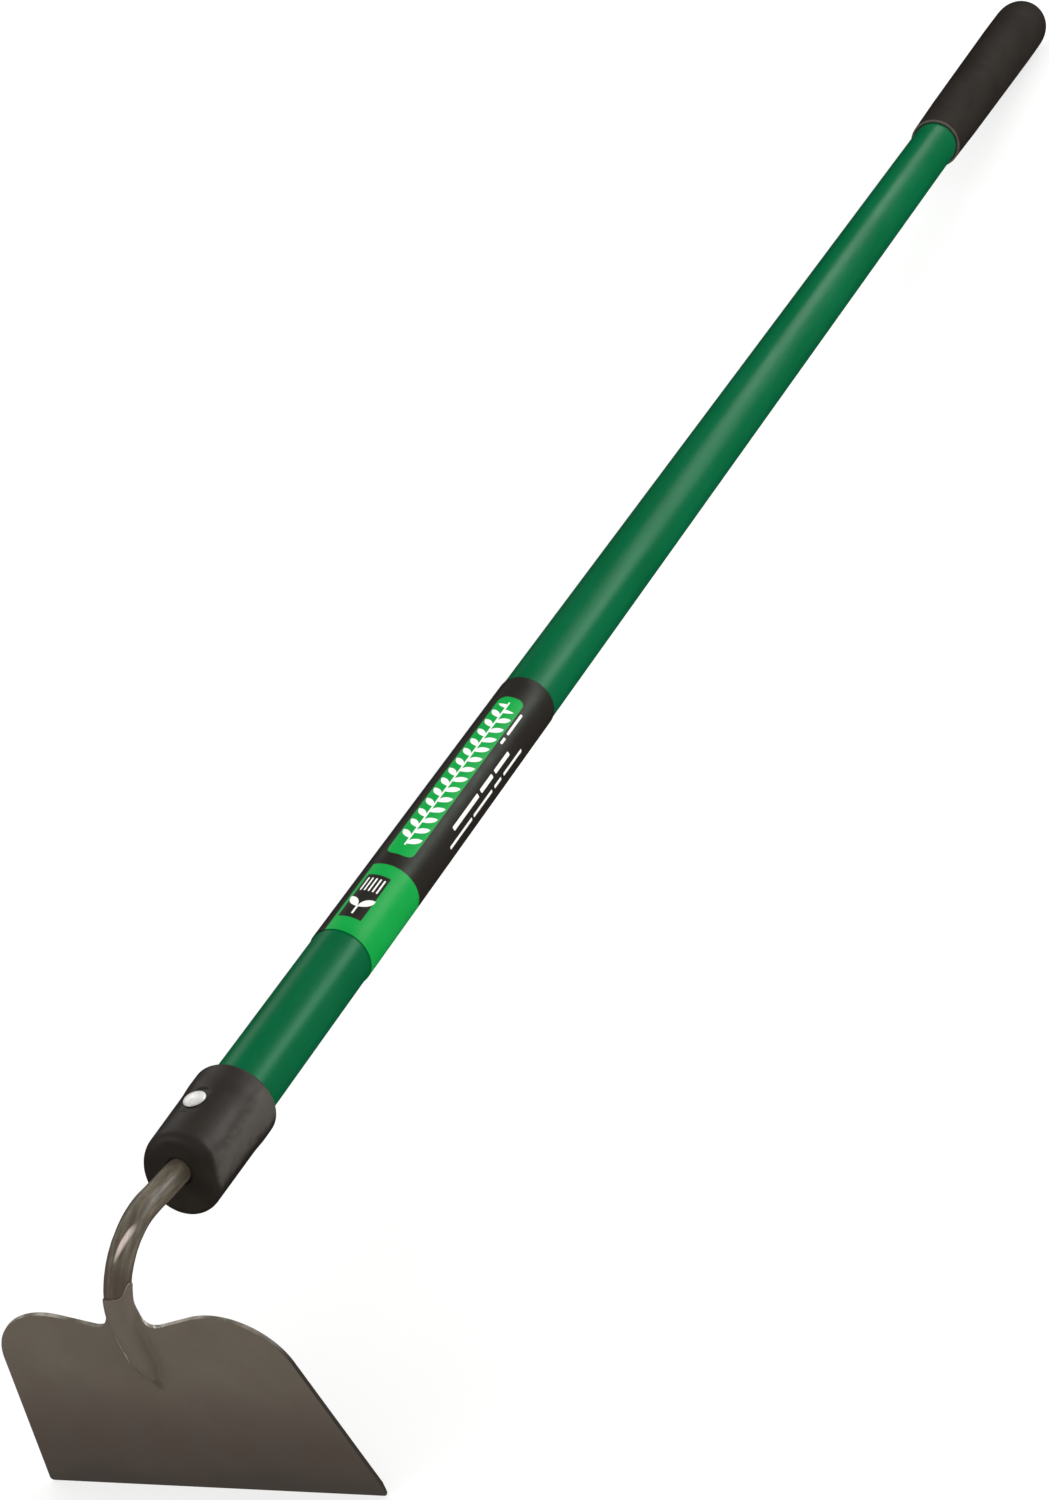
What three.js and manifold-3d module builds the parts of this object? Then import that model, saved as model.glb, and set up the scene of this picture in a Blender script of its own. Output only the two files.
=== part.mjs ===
// Draw hoe: a stamped steel blade welded to a gooseneck rod, riveted into a moulded ferrule on a
// hollow fibreglass handle with a wrap-round label and a closed-end rubber grip.
//
// The tool is modelled in its own frame: the handle's axis is X, running from the head to the grip,
// Y is across the blade and +Z is the side away from the blade. A last turn lays the finished tool
// down as it rests on level ground, on its cutting edge and the end of its grip. Millimetres.

import * as THREE from 'three';
import { mergeVertices } from 'three/addons/utils/BufferGeometryUtils.js';
import Module from 'manifold-3d';

const wasm = await Module();
wasm.setup();

// ---------------------------------------------------------------- driving dimensions

const gap = 0.3; // clearance between neighbouring pieces
const slip = 0.15; // clearance of one round piece inside another
const overrun = 2; // how far a cutting solid runs past what it cuts

// handle tube
const tubeRadius = 14.29;
const tubeWall = 3.2;
const tubeStart = -38;
const tubeEnd = 1266;
const boreRadius = tubeRadius - tubeWall;

// ferrule
const noseEnd = -45.6;
const noseRadius = 17.8;
const noseRounding = 2.8;
const noseRake = Math.tan(THREE.MathUtils.degToRad(10.6)); // the end face leans back at the top
const bodyEndRadius = 18.2;
const collarStart = -5.5;
const collarEnd = 5;
const collarRadius = 18.6;
const collarRounding = 2.4;

// neck: a round rod whose tang lies on the handle's axis, rises a little and then bends down
const neckRadius = 5.38;
const neckEndRadius = 4.6; // drawn down where it enters the channel
const tangEnd = 32;
const riseStart = -24.7;
const riseAngle = THREE.MathUtils.degToRad(7.3);
const sweepRadius = 42.4;
const sweepHeading = THREE.MathUtils.degToRad(37);
const heelRadius = 21.7;

// blade: a flat plate set a few degrees past square to the handle
const bladeAngle = THREE.MathUtils.degToRad(6);
const bladeThickness = 2;
const edgeX = -98.85;
const edgeDepth = 112.3;
const edgeHalfWidth = 79.4;
const sideLean = Math.atan(0.178);
const cornerRadius = 1.6;
const shoulderAcross = 38;
const shoulderHeight = 66;
const dipAngle = THREE.MathUtils.degToRad(16);
const notchAcross = 13.4;
const notchRadius = 5;
const tongueLean = THREE.MathUtils.degToRad(24);
const tongueHeight = 99.5;
const bevelHeight = 5;
const edgeThickness = 0.5;

// channel pressed forward out of the plate around the lower end of the neck
const channelOut = -0.8; // where the neck's axis lies, from the plate's front face
const channelWall = 1;
const channelFlank = 3.2; // how far the tongue's flanks reach behind the neck's axis
const channelFoot = 91; // below this height the flanks stop at the plate's back
const channelHeading = THREE.MathUtils.degToRad(49); // where the channel starts on the neck's bend
const neckEndHeight = 76;
const channelTipHeight = 57;

// weld beads behind the plate
const beadRadius = 2.3;
const beadBottom = 78;
const beadTop = 90.5;

// rivet through ferrule, tube, plug and tang
const rivetX = -19;
const rivetShankRadius = 2.5;
const rivetHeadRadius = 4.8;
const rivetHeadHeight = 2.2;
const rivetTailRadius = 3.8;
const rivetTailHeight = 1.7;
const seatDepth = 17.5; // distance of each flat rivet seat from the handle's axis
const seatRadius = 5.5;
const washerRadius = 5.2;
const washerThickness = 1;

// plugs inside the tube
const tangPlugEnd = 46;
const endPlugLength = 32;

// label wrapped round the tube
const labelStart = 106.5;
const labelEnd = 321;
const labelThickness = 0.25;

// grip
const gripStart = 1039;
const gripEnd = 1274;
const gripRimRadius = 16.2;
const gripLipRadius = 1.6;
const gripWaistX = 1085;
const gripWaistRadius = 17.05;
const gripBellyX = 1222;
const gripBellyRadius = 18.4;
const gripDomeLength = 24;
const gripDomePower = 3.2;

// ---------------------------------------------------------------- materials

function material(color, roughness, metalness) {
  return new THREE.MeshStandardMaterial({ color, roughness, metalness });
}

const bladePaint = material(0x5f574c, 0.48, 0.15);
const neckPaint = material(0x5b5246, 0.42, 0.2);
const weldPaint = material(0x6d675c, 0.4, 0.35);
const ferrulePlastic = material(0x23211f, 0.42, 0);
const rivetSteel = material(0xb9bbbc, 0.3, 1);
const handleGreen = material(0x00683e, 0.38, 0);
const labelFilm = material(0x241f20, 0.45, 0);
const gripRubber = material(0x1d1a18, 0.75, 0);
const plugNylon = material(0xb7b29f, 0.6, 0);

// ---------------------------------------------------------------- solids and sweeps

function toSolid(geometry) {
  const bare = geometry.clone();
  bare.deleteAttribute('normal');
  bare.deleteAttribute('uv');
  const merged = mergeVertices(bare, 1e-4);
  return new wasm.Manifold(
    new wasm.Mesh({
      numProp: 3,
      vertProperties: new Float32Array(merged.attributes.position.array),
      triVerts: new Uint32Array(merged.index.array),
    }),
  );
}

function toGeometry(solid) {
  const mesh = solid.getMesh();
  const geometry = new THREE.BufferGeometry();
  geometry.setAttribute('position', new THREE.BufferAttribute(mesh.vertProperties, 3));
  geometry.setIndex(new THREE.BufferAttribute(mesh.triVerts, 1));
  geometry.computeVertexNormals();
  return geometry;
}

function cut(geometry, ...cutters) {
  let solid = toSolid(geometry);
  for (const cutter of cutters) {
    solid = solid.subtract(toSolid(cutter));
  }
  return toGeometry(solid);
}

// Turns a half-section of [x, radius] points about the handle's axis.
function turned(halfSection) {
  const profile = halfSection.map(([x, radius]) => new THREE.Vector2(radius, x));
  const geometry = new THREE.LatheGeometry(profile, 48);
  return geometry.rotateZ(-Math.PI / 2);
}

// Turns a half-section of [z, radius] points about the rivet's axis.
function turnedUpright(halfSection) {
  const profile = halfSection.map(([z, radius]) => new THREE.Vector2(radius, z));
  const geometry = new THREE.LatheGeometry(profile, 24);
  return geometry.rotateX(Math.PI / 2).translate(rivetX, 0, 0);
}

// A quarter of an ellipse in a half-section, from one angle to the other.
function quarter([centreX, centreRadius], [reachX, reachRadius], fromAngle, toAngle) {
  const steps = 6;
  const points = [];
  for (let i = 0; i <= steps; i += 1) {
    const angle = fromAngle + ((toAngle - fromAngle) * i) / steps;
    points.push([centreX + reachX * Math.cos(angle), centreRadius + reachRadius * Math.sin(angle)]);
  }
  return points;
}

function circleShape(radius) {
  const sides = 20;
  const points = [];
  for (let i = 0; i < sides; i += 1) {
    const angle = (2 * Math.PI * (i + 0.5)) / sides;
    points.push(new THREE.Vector2(radius * Math.cos(angle), radius * Math.sin(angle)));
  }
  return new THREE.Shape(points);
}

function sweep(shape, extrudePath, steps) {
  return new THREE.ExtrudeGeometry(shape, { steps, extrudePath, bevelEnabled: false });
}

// ---------------------------------------------------------------- blade frame

const faceUp = new THREE.Vector3(-Math.sin(bladeAngle), 0, Math.cos(bladeAngle));
const faceOut = new THREE.Vector3(-Math.cos(bladeAngle), 0, -Math.sin(bladeAngle));
const edgeMiddle = new THREE.Vector3(edgeX, 0, -edgeDepth);

// From blade coordinates (across, height above the edge, out of the front face) to the tool's.
const bladeToTool = new THREE.Matrix4()
  .makeBasis(new THREE.Vector3(0, -1, 0), faceUp, faceOut)
  .setPosition(edgeMiddle);

// A block in blade coordinates between two corners.
function bladeBlock(low, high) {
  const size = high.map((value, i) => value - low[i]);
  const middle = high.map((value, i) => (value + low[i]) / 2);
  return new THREE.BoxGeometry(...size).translate(...middle).applyMatrix4(bladeToTool);
}

// ---------------------------------------------------------------- neck centreline

// The rod's axis in the XZ plane. A heading of 0 runs along -X and 90 degrees runs straight down.
function headingVector(heading) {
  return new THREE.Vector3(-Math.cos(heading), 0, -Math.sin(heading));
}

function straightLeg(start, heading, length) {
  const direction = headingVector(heading);
  return {
    length,
    at: (distance) => start.clone().addScaledVector(direction, distance),
  };
}

function arcLeg(start, fromHeading, toHeading, radius) {
  const side = Math.sign(toHeading - fromHeading);
  const normal = (heading) => headingVector(heading + Math.PI / 2).multiplyScalar(side * radius);
  const centre = start.clone().add(normal(fromHeading));
  return {
    length: radius * Math.abs(toHeading - fromHeading),
    at: (distance) => centre.clone().sub(normal(fromHeading + (side * distance) / radius)),
  };
}

function neckLegs() {
  const faceHeading = Math.PI / 2 + bladeAngle;
  const tang = straightLeg(new THREE.Vector3(tangEnd, 0, 0), 0, tangEnd - riseStart);
  const kick = arcLeg(tang.at(tang.length), 0, -riseAngle, sweepRadius);
  const riseFoot = kick.at(kick.length);

  // The rise is as long as it takes for the bends to bring the rod into the channel.
  const bends = (start) => {
    const sweepLeg = arcLeg(start, -riseAngle, sweepHeading, sweepRadius);
    const heel = arcLeg(sweepLeg.at(sweepLeg.length), sweepHeading, faceHeading, heelRadius);
    return [sweepLeg, heel];
  };
  const heelOf = ([, heel]) => heel.at(heel.length).sub(edgeMiddle);
  const shortfall = channelOut - heelOf(bends(riseFoot)).dot(faceOut);
  const riseLength = shortfall / headingVector(-riseAngle).dot(faceOut);
  const rise = straightLeg(riseFoot, -riseAngle, riseLength);
  const [sweepLeg, heel] = bends(rise.at(riseLength));

  const heelHeight = heelOf([sweepLeg, heel]).dot(faceUp);
  const shank = straightLeg(heel.at(heel.length), faceHeading, heelHeight - neckEndHeight);
  return [tang, kick, rise, sweepLeg, heel, shank];
}

const legs = neckLegs();
const neckLength = legs.reduce((sum, leg) => sum + leg.length, 0);
const shankLength = legs[legs.length - 1].length;
const channelRun = shankLength + heelRadius * (Math.PI / 2 + bladeAngle - channelHeading);

// The stretch of the rod's axis between two distances from the tang's end.
class NeckStretch extends THREE.Curve {
  constructor(from, to) {
    super();
    this.from = from;
    this.to = to;
  }

  getPoint(t, target = new THREE.Vector3()) {
    let distance = this.from + (this.to - this.from) * t;
    let index = 0;
    while (index < legs.length - 1 && distance > legs[index].length) {
      distance -= legs[index].length;
      index += 1;
    }
    return target.copy(legs[index].at(distance));
  }
}

// The rod, or with some clearance the cutter that makes room for it.
function rod(clearance) {
  const shoulder = neckLength - channelRun;
  const upper = new NeckStretch(-clearance, shoulder + clearance);
  const lower = new NeckStretch(shoulder - overrun, neckLength + clearance);
  const thick = toSolid(sweep(circleShape(neckRadius + clearance), upper, 36));
  const thin = toSolid(sweep(circleShape(neckEndRadius + clearance), lower, 12));
  return toGeometry(thick.add(thin));
}

function rivetHole() {
  const length = 2 * (noseRadius + overrun);
  return new THREE.CylinderGeometry(rivetShankRadius + gap, rivetShankRadius + gap, length, 28)
    .rotateX(Math.PI / 2)
    .translate(rivetX, 0, 0);
}

// ---------------------------------------------------------------- head

// Half of the plate's outline, from the cutting edge's corner up to the tongue.
function halfOutline() {
  const arc = (across, height, radius, fromAngle, toAngle, steps) => {
    const points = [];
    for (let i = 0; i <= steps; i += 1) {
      const angle = fromAngle + ((toAngle - fromAngle) * i) / steps;
      points.push([across + radius * Math.cos(angle), height + radius * Math.sin(angle)]);
    }
    return points;
  };
  const right = Math.PI / 2;
  const cornerAcross = edgeHalfWidth - (cornerRadius * (1 + Math.sin(sideLean))) / Math.cos(sideLean);
  const shoulderRadius =
    (edgeHalfWidth - shoulderAcross) * Math.cos(sideLean) - shoulderHeight * Math.sin(sideLean);
  const dipStartAcross = shoulderAcross - shoulderRadius * Math.sin(dipAngle);
  const dipStartHeight = shoulderHeight + shoulderRadius * Math.cos(dipAngle);
  const notchHeight =
    dipStartHeight - (dipStartAcross - notchAcross) * Math.tan(dipAngle) + notchRadius / Math.cos(dipAngle);
  const tongueRoot = notchAcross - notchRadius * Math.cos(tongueLean);
  const tongueRise = tongueHeight - (notchHeight - notchRadius * Math.sin(tongueLean));
  return [
    ...arc(cornerAcross, cornerRadius, cornerRadius, -right, sideLean, 3),
    ...arc(shoulderAcross, shoulderHeight, shoulderRadius, sideLean, right + dipAngle, 16),
    ...arc(notchAcross, notchHeight, notchRadius, dipAngle - right, tongueLean - 2 * right, 6),
    [tongueRoot - tongueRise * Math.tan(tongueLean), tongueHeight],
  ];
}

function plate() {
  const half = halfOutline();
  const mirrored = half.map(([across, height]) => [-across, height]).reverse();
  const outline = [...half, ...mirrored].map(([across, height]) => new THREE.Vector2(across, height));
  return new THREE.ExtrudeGeometry(new THREE.Shape(outline), { depth: bladeThickness, bevelEnabled: false })
    .translate(0, 0, -bladeThickness)
    .applyMatrix4(bladeToTool);
}

// The ground bevel on the back of the cutting edge, as the wedge of steel that is removed.
function bevelWedge() {
  const slope = (bladeThickness - edgeThickness) / bevelHeight;
  const outAt = (height) => -edgeThickness - slope * height;
  const section = new THREE.Shape([
    new THREE.Vector2(-overrun, outAt(-overrun)),
    new THREE.Vector2(-overrun, -bladeThickness - overrun),
    new THREE.Vector2(bevelHeight + overrun, -bladeThickness - overrun),
    new THREE.Vector2(bevelHeight + overrun, outAt(bevelHeight + overrun)),
  ]);
  const width = 2 * (edgeHalfWidth + overrun);
  const sectionToBlade = new THREE.Matrix4().makeBasis(
    new THREE.Vector3(0, 1, 0),
    new THREE.Vector3(0, 0, 1),
    new THREE.Vector3(1, 0, 0),
  );
  return new THREE.ExtrudeGeometry(section, { depth: width, bevelEnabled: false })
    .translate(0, 0, -width / 2)
    .applyMatrix4(sectionToBlade)
    .applyMatrix4(bladeToTool);
}

// The channel's outside: half round over the rod's front, with straight flanks behind its axis.
function channelSection() {
  const radius = neckEndRadius + gap + channelWall;
  const shape = new THREE.Shape();
  shape.moveTo(radius, -channelFlank);
  shape.absarc(0, 0, radius, 0, Math.PI, false);
  shape.lineTo(-radius, -channelFlank);
  return shape;
}

// The channel's blind end, narrowing to a point below the rod. A thickness shrinks it inwards.
function channelTip(thickness) {
  const steps = 10;
  const length = neckEndHeight - channelTipHeight;
  const rootRadius = neckEndRadius + gap + channelWall;
  const profile = [new THREE.Vector2(0, overrun)];
  for (let i = 0; i <= steps; i += 1) {
    const along = i / steps;
    const radius = rootRadius * (1 - along ** 1.8) - thickness;
    if (radius > 0) {
      profile.push(new THREE.Vector2(radius, i === 0 ? overrun : -length * along));
    }
  }
  profile.push(new THREE.Vector2(0, profile[profile.length - 1].y - thickness / 2 - gap));
  return new THREE.LatheGeometry(profile.reverse(), 24)
    .translate(0, neckEndHeight, channelOut)
    .applyMatrix4(bladeToTool);
}

function blade() {
  const channelStart = neckLength - channelRun;
  const channel = sweep(channelSection(), new NeckStretch(channelStart, neckLength), 20);
  const behind = bladeBlock(
    [-notchAcross, channelTipHeight - overrun, -2 * neckRadius],
    [notchAcross, channelFoot, -bladeThickness],
  );
  const outside = toSolid(plate()).add(toSolid(channel)).add(toSolid(channelTip(0)));
  const pressed = outside
    .subtract(toSolid(rod(gap)))
    .subtract(toSolid(channelTip(channelWall + gap)))
    .subtract(toSolid(behind))
    .subtract(toSolid(bevelWedge()));
  return toGeometry(pressed);
}

function neck() {
  return cut(rod(0), rivetHole());
}

// A weld bead along one side of the rod, in the corner it makes with the plate's back.
function sideBead(side) {
  const at = (height) =>
    new THREE.Vector3(side * neckRadius, height, -bladeThickness - gap).applyMatrix4(bladeToTool);
  const path = new THREE.LineCurve3(at(beadBottom), at(beadTop));
  const bead = sweep(circleShape(beadRadius), path, 1);
  const plateRoom = bladeBlock(
    [-edgeHalfWidth, channelTipHeight, -bladeThickness - gap],
    [edgeHalfWidth, beadTop + overrun, 2 * neckRadius],
  );
  return cut(bead, rod(gap), plateRoom);
}

// ---------------------------------------------------------------- handle

// Leans the ferrule's end face and its rounding back, in front of the floor of the socket.
function raked(geometry, floor) {
  const position = geometry.attributes.position;
  for (let i = 0; i < position.count; i += 1) {
    if (position.getX(i) < floor) {
      position.setX(i, position.getX(i) + noseRake * position.getZ(i));
    }
  }
  return geometry;
}

function ferrule() {
  const socket = tubeRadius + slip;
  const floor = tubeStart - gap;
  const halfSection = [
    [noseEnd, 0],
    ...quarter(
      [noseEnd + noseRounding, noseRadius - noseRounding],
      [noseRounding, noseRounding],
      Math.PI,
      Math.PI / 2,
    ),
    [collarStart - collarRounding, bodyEndRadius],
    ...quarter(
      [collarStart, bodyEndRadius],
      [collarRounding, collarRadius - bodyEndRadius],
      Math.PI,
      Math.PI / 2,
    ).slice(1),
    ...quarter(
      [collarEnd - collarRounding, collarRadius - collarRounding],
      [collarRounding, collarRounding],
      Math.PI / 2,
      0,
    ),
    [collarEnd, socket],
    [floor, socket],
    [floor, 0],
  ];
  const seats = [1, -1].map((side) =>
    new THREE.CylinderGeometry(seatRadius, seatRadius, 2 * overrun, 40)
      .rotateX(Math.PI / 2)
      .translate(rivetX, 0, side * (seatDepth + overrun)),
  );
  return cut(raked(turned(halfSection), floor - slip), rod(gap), rivetHole(), ...seats);
}

function rivet() {
  const headBase = seatDepth + gap;
  const tailTop = -seatDepth - 2 * gap - washerThickness;
  const domeSteps = 6;
  const halfSection = [
    [tailTop - rivetTailHeight, 0],
    [tailTop - rivetTailHeight, rivetTailRadius * 0.7],
    [tailTop - rivetTailHeight * 0.6, rivetTailRadius],
    [tailTop, rivetTailRadius],
    [tailTop, rivetShankRadius],
    [headBase, rivetShankRadius],
    [headBase, rivetHeadRadius],
  ];
  for (let i = 1; i <= domeSteps; i += 1) {
    const angle = (Math.PI / 2) * (i / domeSteps);
    const radius = i === domeSteps ? 0 : rivetHeadRadius * Math.cos(angle);
    halfSection.push([headBase + 0.4 + (rivetHeadHeight - 0.4) * Math.sin(angle), radius]);
  }
  return turnedUpright(halfSection);
}

function rivetWasher() {
  const top = -seatDepth - gap;
  const hole = rivetShankRadius + gap;
  return turnedUpright([
    [top - washerThickness, hole],
    [top - washerThickness, washerRadius],
    [top, washerRadius],
    [top, hole],
    [top - washerThickness, hole],
  ]);
}

function handleTube() {
  const halfSection = [
    [tubeStart, boreRadius],
    [tubeStart, tubeRadius],
    [tubeEnd, tubeRadius],
    [tubeEnd, boreRadius],
    [tubeStart, boreRadius],
  ];
  return cut(turned(halfSection), rivetHole());
}

function tangPlug() {
  const radius = boreRadius - slip;
  const halfSection = [
    [tubeStart, 0],
    [tubeStart, radius],
    [tangPlugEnd, radius],
    [tangPlugEnd, 0],
  ];
  return cut(turned(halfSection), rod(gap), rivetHole());
}

function endPlug() {
  const radius = boreRadius - slip;
  const chamfer = 1.5;
  return turned([
    [tubeEnd - endPlugLength, 0],
    [tubeEnd - endPlugLength, radius - chamfer],
    [tubeEnd - endPlugLength + chamfer, radius],
    [tubeEnd, radius],
    [tubeEnd, 0],
  ]);
}

function handleLabel() {
  const inner = tubeRadius + slip;
  const outer = inner + labelThickness;
  return turned([
    [labelStart, inner],
    [labelStart, outer],
    [labelEnd, outer],
    [labelEnd, inner],
    [labelStart, inner],
  ]);
}

// The grip's outside, from its lip to the middle of its domed end.
function gripOutside() {
  const points = quarter(
    [gripStart + gripLipRadius, gripRimRadius - gripLipRadius],
    [gripLipRadius, gripLipRadius],
    Math.PI,
    Math.PI / 2,
  );
  points.push([gripWaistX, gripWaistRadius]);
  points.push([gripBellyX, gripBellyRadius]);
  const domeSteps = 10;
  for (let i = 0; i <= domeSteps; i += 1) {
    const lift = (Math.PI / 2) * (i / domeSteps);
    const along = Math.sin(lift) ** (2 / gripDomePower);
    const radius = gripBellyRadius * Math.cos(lift) ** (2 / gripDomePower);
    points.push([gripEnd - gripDomeLength * (1 - along), i === domeSteps ? 0 : radius]);
  }
  return points;
}

function grip() {
  const bore = tubeRadius + slip;
  return turned([[tubeEnd + gap, 0], [tubeEnd + gap, bore], [gripStart, bore], ...gripOutside()]);
}

// ---------------------------------------------------------------- assembly

const tool = new THREE.Group();

function addPiece(name, geometry, surface) {
  const mesh = new THREE.Mesh(geometry, surface);
  mesh.name = name;
  tool.add(mesh);
}

addPiece('blade', blade(), bladePaint);
addPiece('neck', neck(), neckPaint);
addPiece('weld_bead_left', sideBead(1), weldPaint);
addPiece('weld_bead_right', sideBead(-1), weldPaint);
addPiece('ferrule', ferrule(), ferrulePlastic);
addPiece('rivet', rivet(), rivetSteel);
addPiece('rivet_washer', rivetWasher(), rivetSteel);
addPiece('handle_tube', handleTube(), handleGreen);
addPiece('tang_plug', tangPlug(), plugNylon);
addPiece('end_plug', endPlug(), plugNylon);
addPiece('handle_label', handleLabel(), labelFilm);
addPiece('grip', grip(), gripRubber);

// At rest the line from the cutting edge to the lowest point of the grip is level.
const restSlopes = gripOutside().map(([x, radius]) => Math.atan2(edgeDepth - radius, x - edgeX));
tool.rotation.y = Math.min(...restSlopes);
tool.updateMatrixWorld(true);

// The origin is on the ground under the middle of the tool.
const bounds = new THREE.Box3().setFromObject(tool, true);
const middle = bounds.getCenter(new THREE.Vector3());
tool.position.set(-middle.x, -middle.y, -bounds.min.z);

const hoe = new THREE.Group();
hoe.add(tool);

export default hoe;
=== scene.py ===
"""Draw hoe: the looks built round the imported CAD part.

Shapes are worked out in the tool's own frame, in millimetres: X along the handle towards the grip,
Y across the blade, Z away from the blade. PLACE lays them in the row frame, in metres.
"""

import math

import bpy
from mathutils import Matrix, Vector, noise
from mathutils.geometry import delaunay_2d_cdt
from mathutils.kdtree import KDTree


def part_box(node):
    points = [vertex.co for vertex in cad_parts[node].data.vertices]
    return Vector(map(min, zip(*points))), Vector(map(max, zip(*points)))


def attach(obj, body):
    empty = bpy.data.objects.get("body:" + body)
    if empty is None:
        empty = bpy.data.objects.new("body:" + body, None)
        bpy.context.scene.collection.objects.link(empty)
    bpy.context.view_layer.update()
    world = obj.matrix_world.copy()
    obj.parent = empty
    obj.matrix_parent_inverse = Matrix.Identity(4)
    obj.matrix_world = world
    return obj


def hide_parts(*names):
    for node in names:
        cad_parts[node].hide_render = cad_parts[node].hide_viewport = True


MM = 0.001
GAP = 0.3  # clearance between neighbouring pieces
SLIP = 0.15  # clearance of one round piece inside another

# handle tube and what is inside it
TUBE_RADIUS = 14.29
TUBE_BORE = 11.09
TUBE_START, TUBE_END = -38.0, 1266.0

# ferrule
NOSE_END, NOSE_RADIUS, NOSE_ROUNDING = -45.6, 17.8, 3.8
NOSE_RAKE = math.tan(math.radians(10.6))
BODY_END_RADIUS, LEAN_END = 18.15, -7.9
COLLAR_FOOT, COLLAR_CREST = -12.5, -3.0
COLLAR_END, COLLAR_RADIUS, COLLAR_ROUNDING = 5.0, 18.6, 2.2

# neck
NECK_RADIUS, NECK_END_RADIUS = 5.38, 4.6
TANG_END, RISE_START = 32.0, -24.7
RISE_ANGLE = math.radians(7.3)
SWEEP_RADIUS, SWEEP_HEADING = 42.4, math.radians(37)
HEEL_RADIUS = 21.7
FORGE_MARKS = 0.11

# blade
BLADE_ANGLE = math.radians(6)
BLADE_THICKNESS, EDGE_THICKNESS, BEVEL_HEIGHT = 2.0, 0.5, 5.0
EDGE_X, EDGE_DEPTH, EDGE_HALF_WIDTH = -98.85, 112.3, 79.4
SIDE_LEAN = math.atan(0.178)
CORNER_RADIUS = 1.6
SHOULDER_ACROSS, SHOULDER_HEIGHT = 38.0, 66.0
DIP_ANGLE = math.radians(16)
NOTCH_ACROSS, NOTCH_RADIUS = 13.4, 5.0
TONGUE_LEAN = math.radians(24)
EDGE_SOFTNESS = 0.3 * MM  # rounding of its edges, in metres
THIN_EDGE_BELOW, THIN_EDGE_SHARE = 1.0 * MM, 0.25  # the cutting edge's height, and its share of that

# channel pressed out of the blade round the neck
CHANNEL_OUT = -0.8
CHANNEL_WALL = 1.0
CHANNEL_RADIUS = NECK_END_RADIUS + GAP + CHANNEL_WALL
CHANNEL_HEADING = math.radians(49)
CHANNEL_FILLET = 1.2
CHANNEL_FADE = 1.8  # power of the curve by which its radius shrinks towards the tip
NECK_END_HEIGHT, CHANNEL_TIP_HEIGHT = 76.0, 57.0
FLAP_ROOT, FLAP_TOP = 2.0, 3.2  # width of sheet beyond the half round, at the notch and at the top
FLAP_FOLD_START, FLAP_FOLD_END = 89.6, 101.0  # heights over which it folds back beside the rod
EAR_FOOT, EAR_HEIGHT = 93.0, 5.5  # the channel's top rises to an ear on one side of the rod

# rivet
RIVET_X = -19.0
SHANK_RADIUS = 2.5
HEAD_RADIUS, HEAD_HEIGHT = 4.8, 2.2
TAIL_RADIUS, TAIL_HEIGHT = 3.8, 1.7
SEAT_DEPTH, SEAT_RADIUS = 17.5, 7.6
WASHER_RADIUS, WASHER_THICKNESS = 5.2, 1.0

# weld beads
BEAD_RADIUS, BEAD_BOTTOM, BEAD_TOP = 2.05, 78.0, 90.5
BEAD_RIPPLE, BEAD_LUMP, BEAD_RIPPLES = 0.12, 0.2, 7.5

# label
LABEL_START, LABEL_END, LABEL_THICKNESS = 106.5, 321.0, 0.25
LABEL_INNER = TUBE_RADIUS + SLIP
LABEL_OUTER = LABEL_INNER + LABEL_THICKNESS

# grip
GRIP_START, GRIP_END = 1039.0, 1274.0
GRIP_RIM_RADIUS, GRIP_LIP_RADIUS = 16.2, 1.6
GRIP_WAIST = (1085.0, 17.05)
GRIP_BELLY = (1222.0, 18.4)
GRIP_DOME_LENGTH, GRIP_DOME_POWER = 24.0, 3.2


# ---------------------------------------------------------------- placing


def middle(node):
    """The middle of a CAD node's box."""
    low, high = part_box(node)
    return (low + high) / 2


def tool_placement():
    """From the tool's frame to the row frame: the handle's axis runs through the middles of the
    tube's and the label's boxes."""
    tube, label = middle("handle_tube"), middle("handle_label")
    along = tube - label
    turn = Matrix.Rotation(math.atan2(-along.z, along.x), 4, "Y")
    tube_middle = Vector(((TUBE_START + TUBE_END) / 2 * MM, 0, 0))
    return Matrix.Translation(tube - turn @ tube_middle) @ turn @ Matrix.Scale(MM, 4)


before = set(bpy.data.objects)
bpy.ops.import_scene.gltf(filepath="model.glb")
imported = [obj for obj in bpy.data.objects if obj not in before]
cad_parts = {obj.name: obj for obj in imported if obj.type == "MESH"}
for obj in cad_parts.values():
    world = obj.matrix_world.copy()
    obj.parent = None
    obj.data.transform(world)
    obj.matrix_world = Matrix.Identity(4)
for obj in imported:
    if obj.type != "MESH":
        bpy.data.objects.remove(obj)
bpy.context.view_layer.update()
PLACE = tool_placement()


# ---------------------------------------------------------------- meshes


def make_piece(name, points, faces, node, material, uv=None, second=None, sharp_angle=40):
    """A closed mesh from points in the tool's frame, standing in for a CAD node. uv is a surface
    map, and second is another material with the numbers of its faces."""
    mesh = bpy.data.meshes.new(name)
    mesh.from_pydata([PLACE @ Vector(p) for p in points], [], faces)
    if uv:
        layer = mesh.uv_layers.new(name="Surface")
        for corner, place in zip(layer.data, (place for face in uv for place in face)):
            corner.uv = place
    mesh.materials.append(material)
    if second:
        mesh.materials.append(second[0])
        for face in second[1]:
            mesh.polygons[face].material_index = 1
    mesh.validate()
    mesh.shade_smooth()
    mesh.set_sharp_from_angle(angle=math.radians(sharp_angle))
    piece = bpy.data.objects.new(name, mesh)
    bpy.context.scene.collection.objects.link(piece)
    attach(piece, "root")
    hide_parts(node)
    return piece


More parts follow.
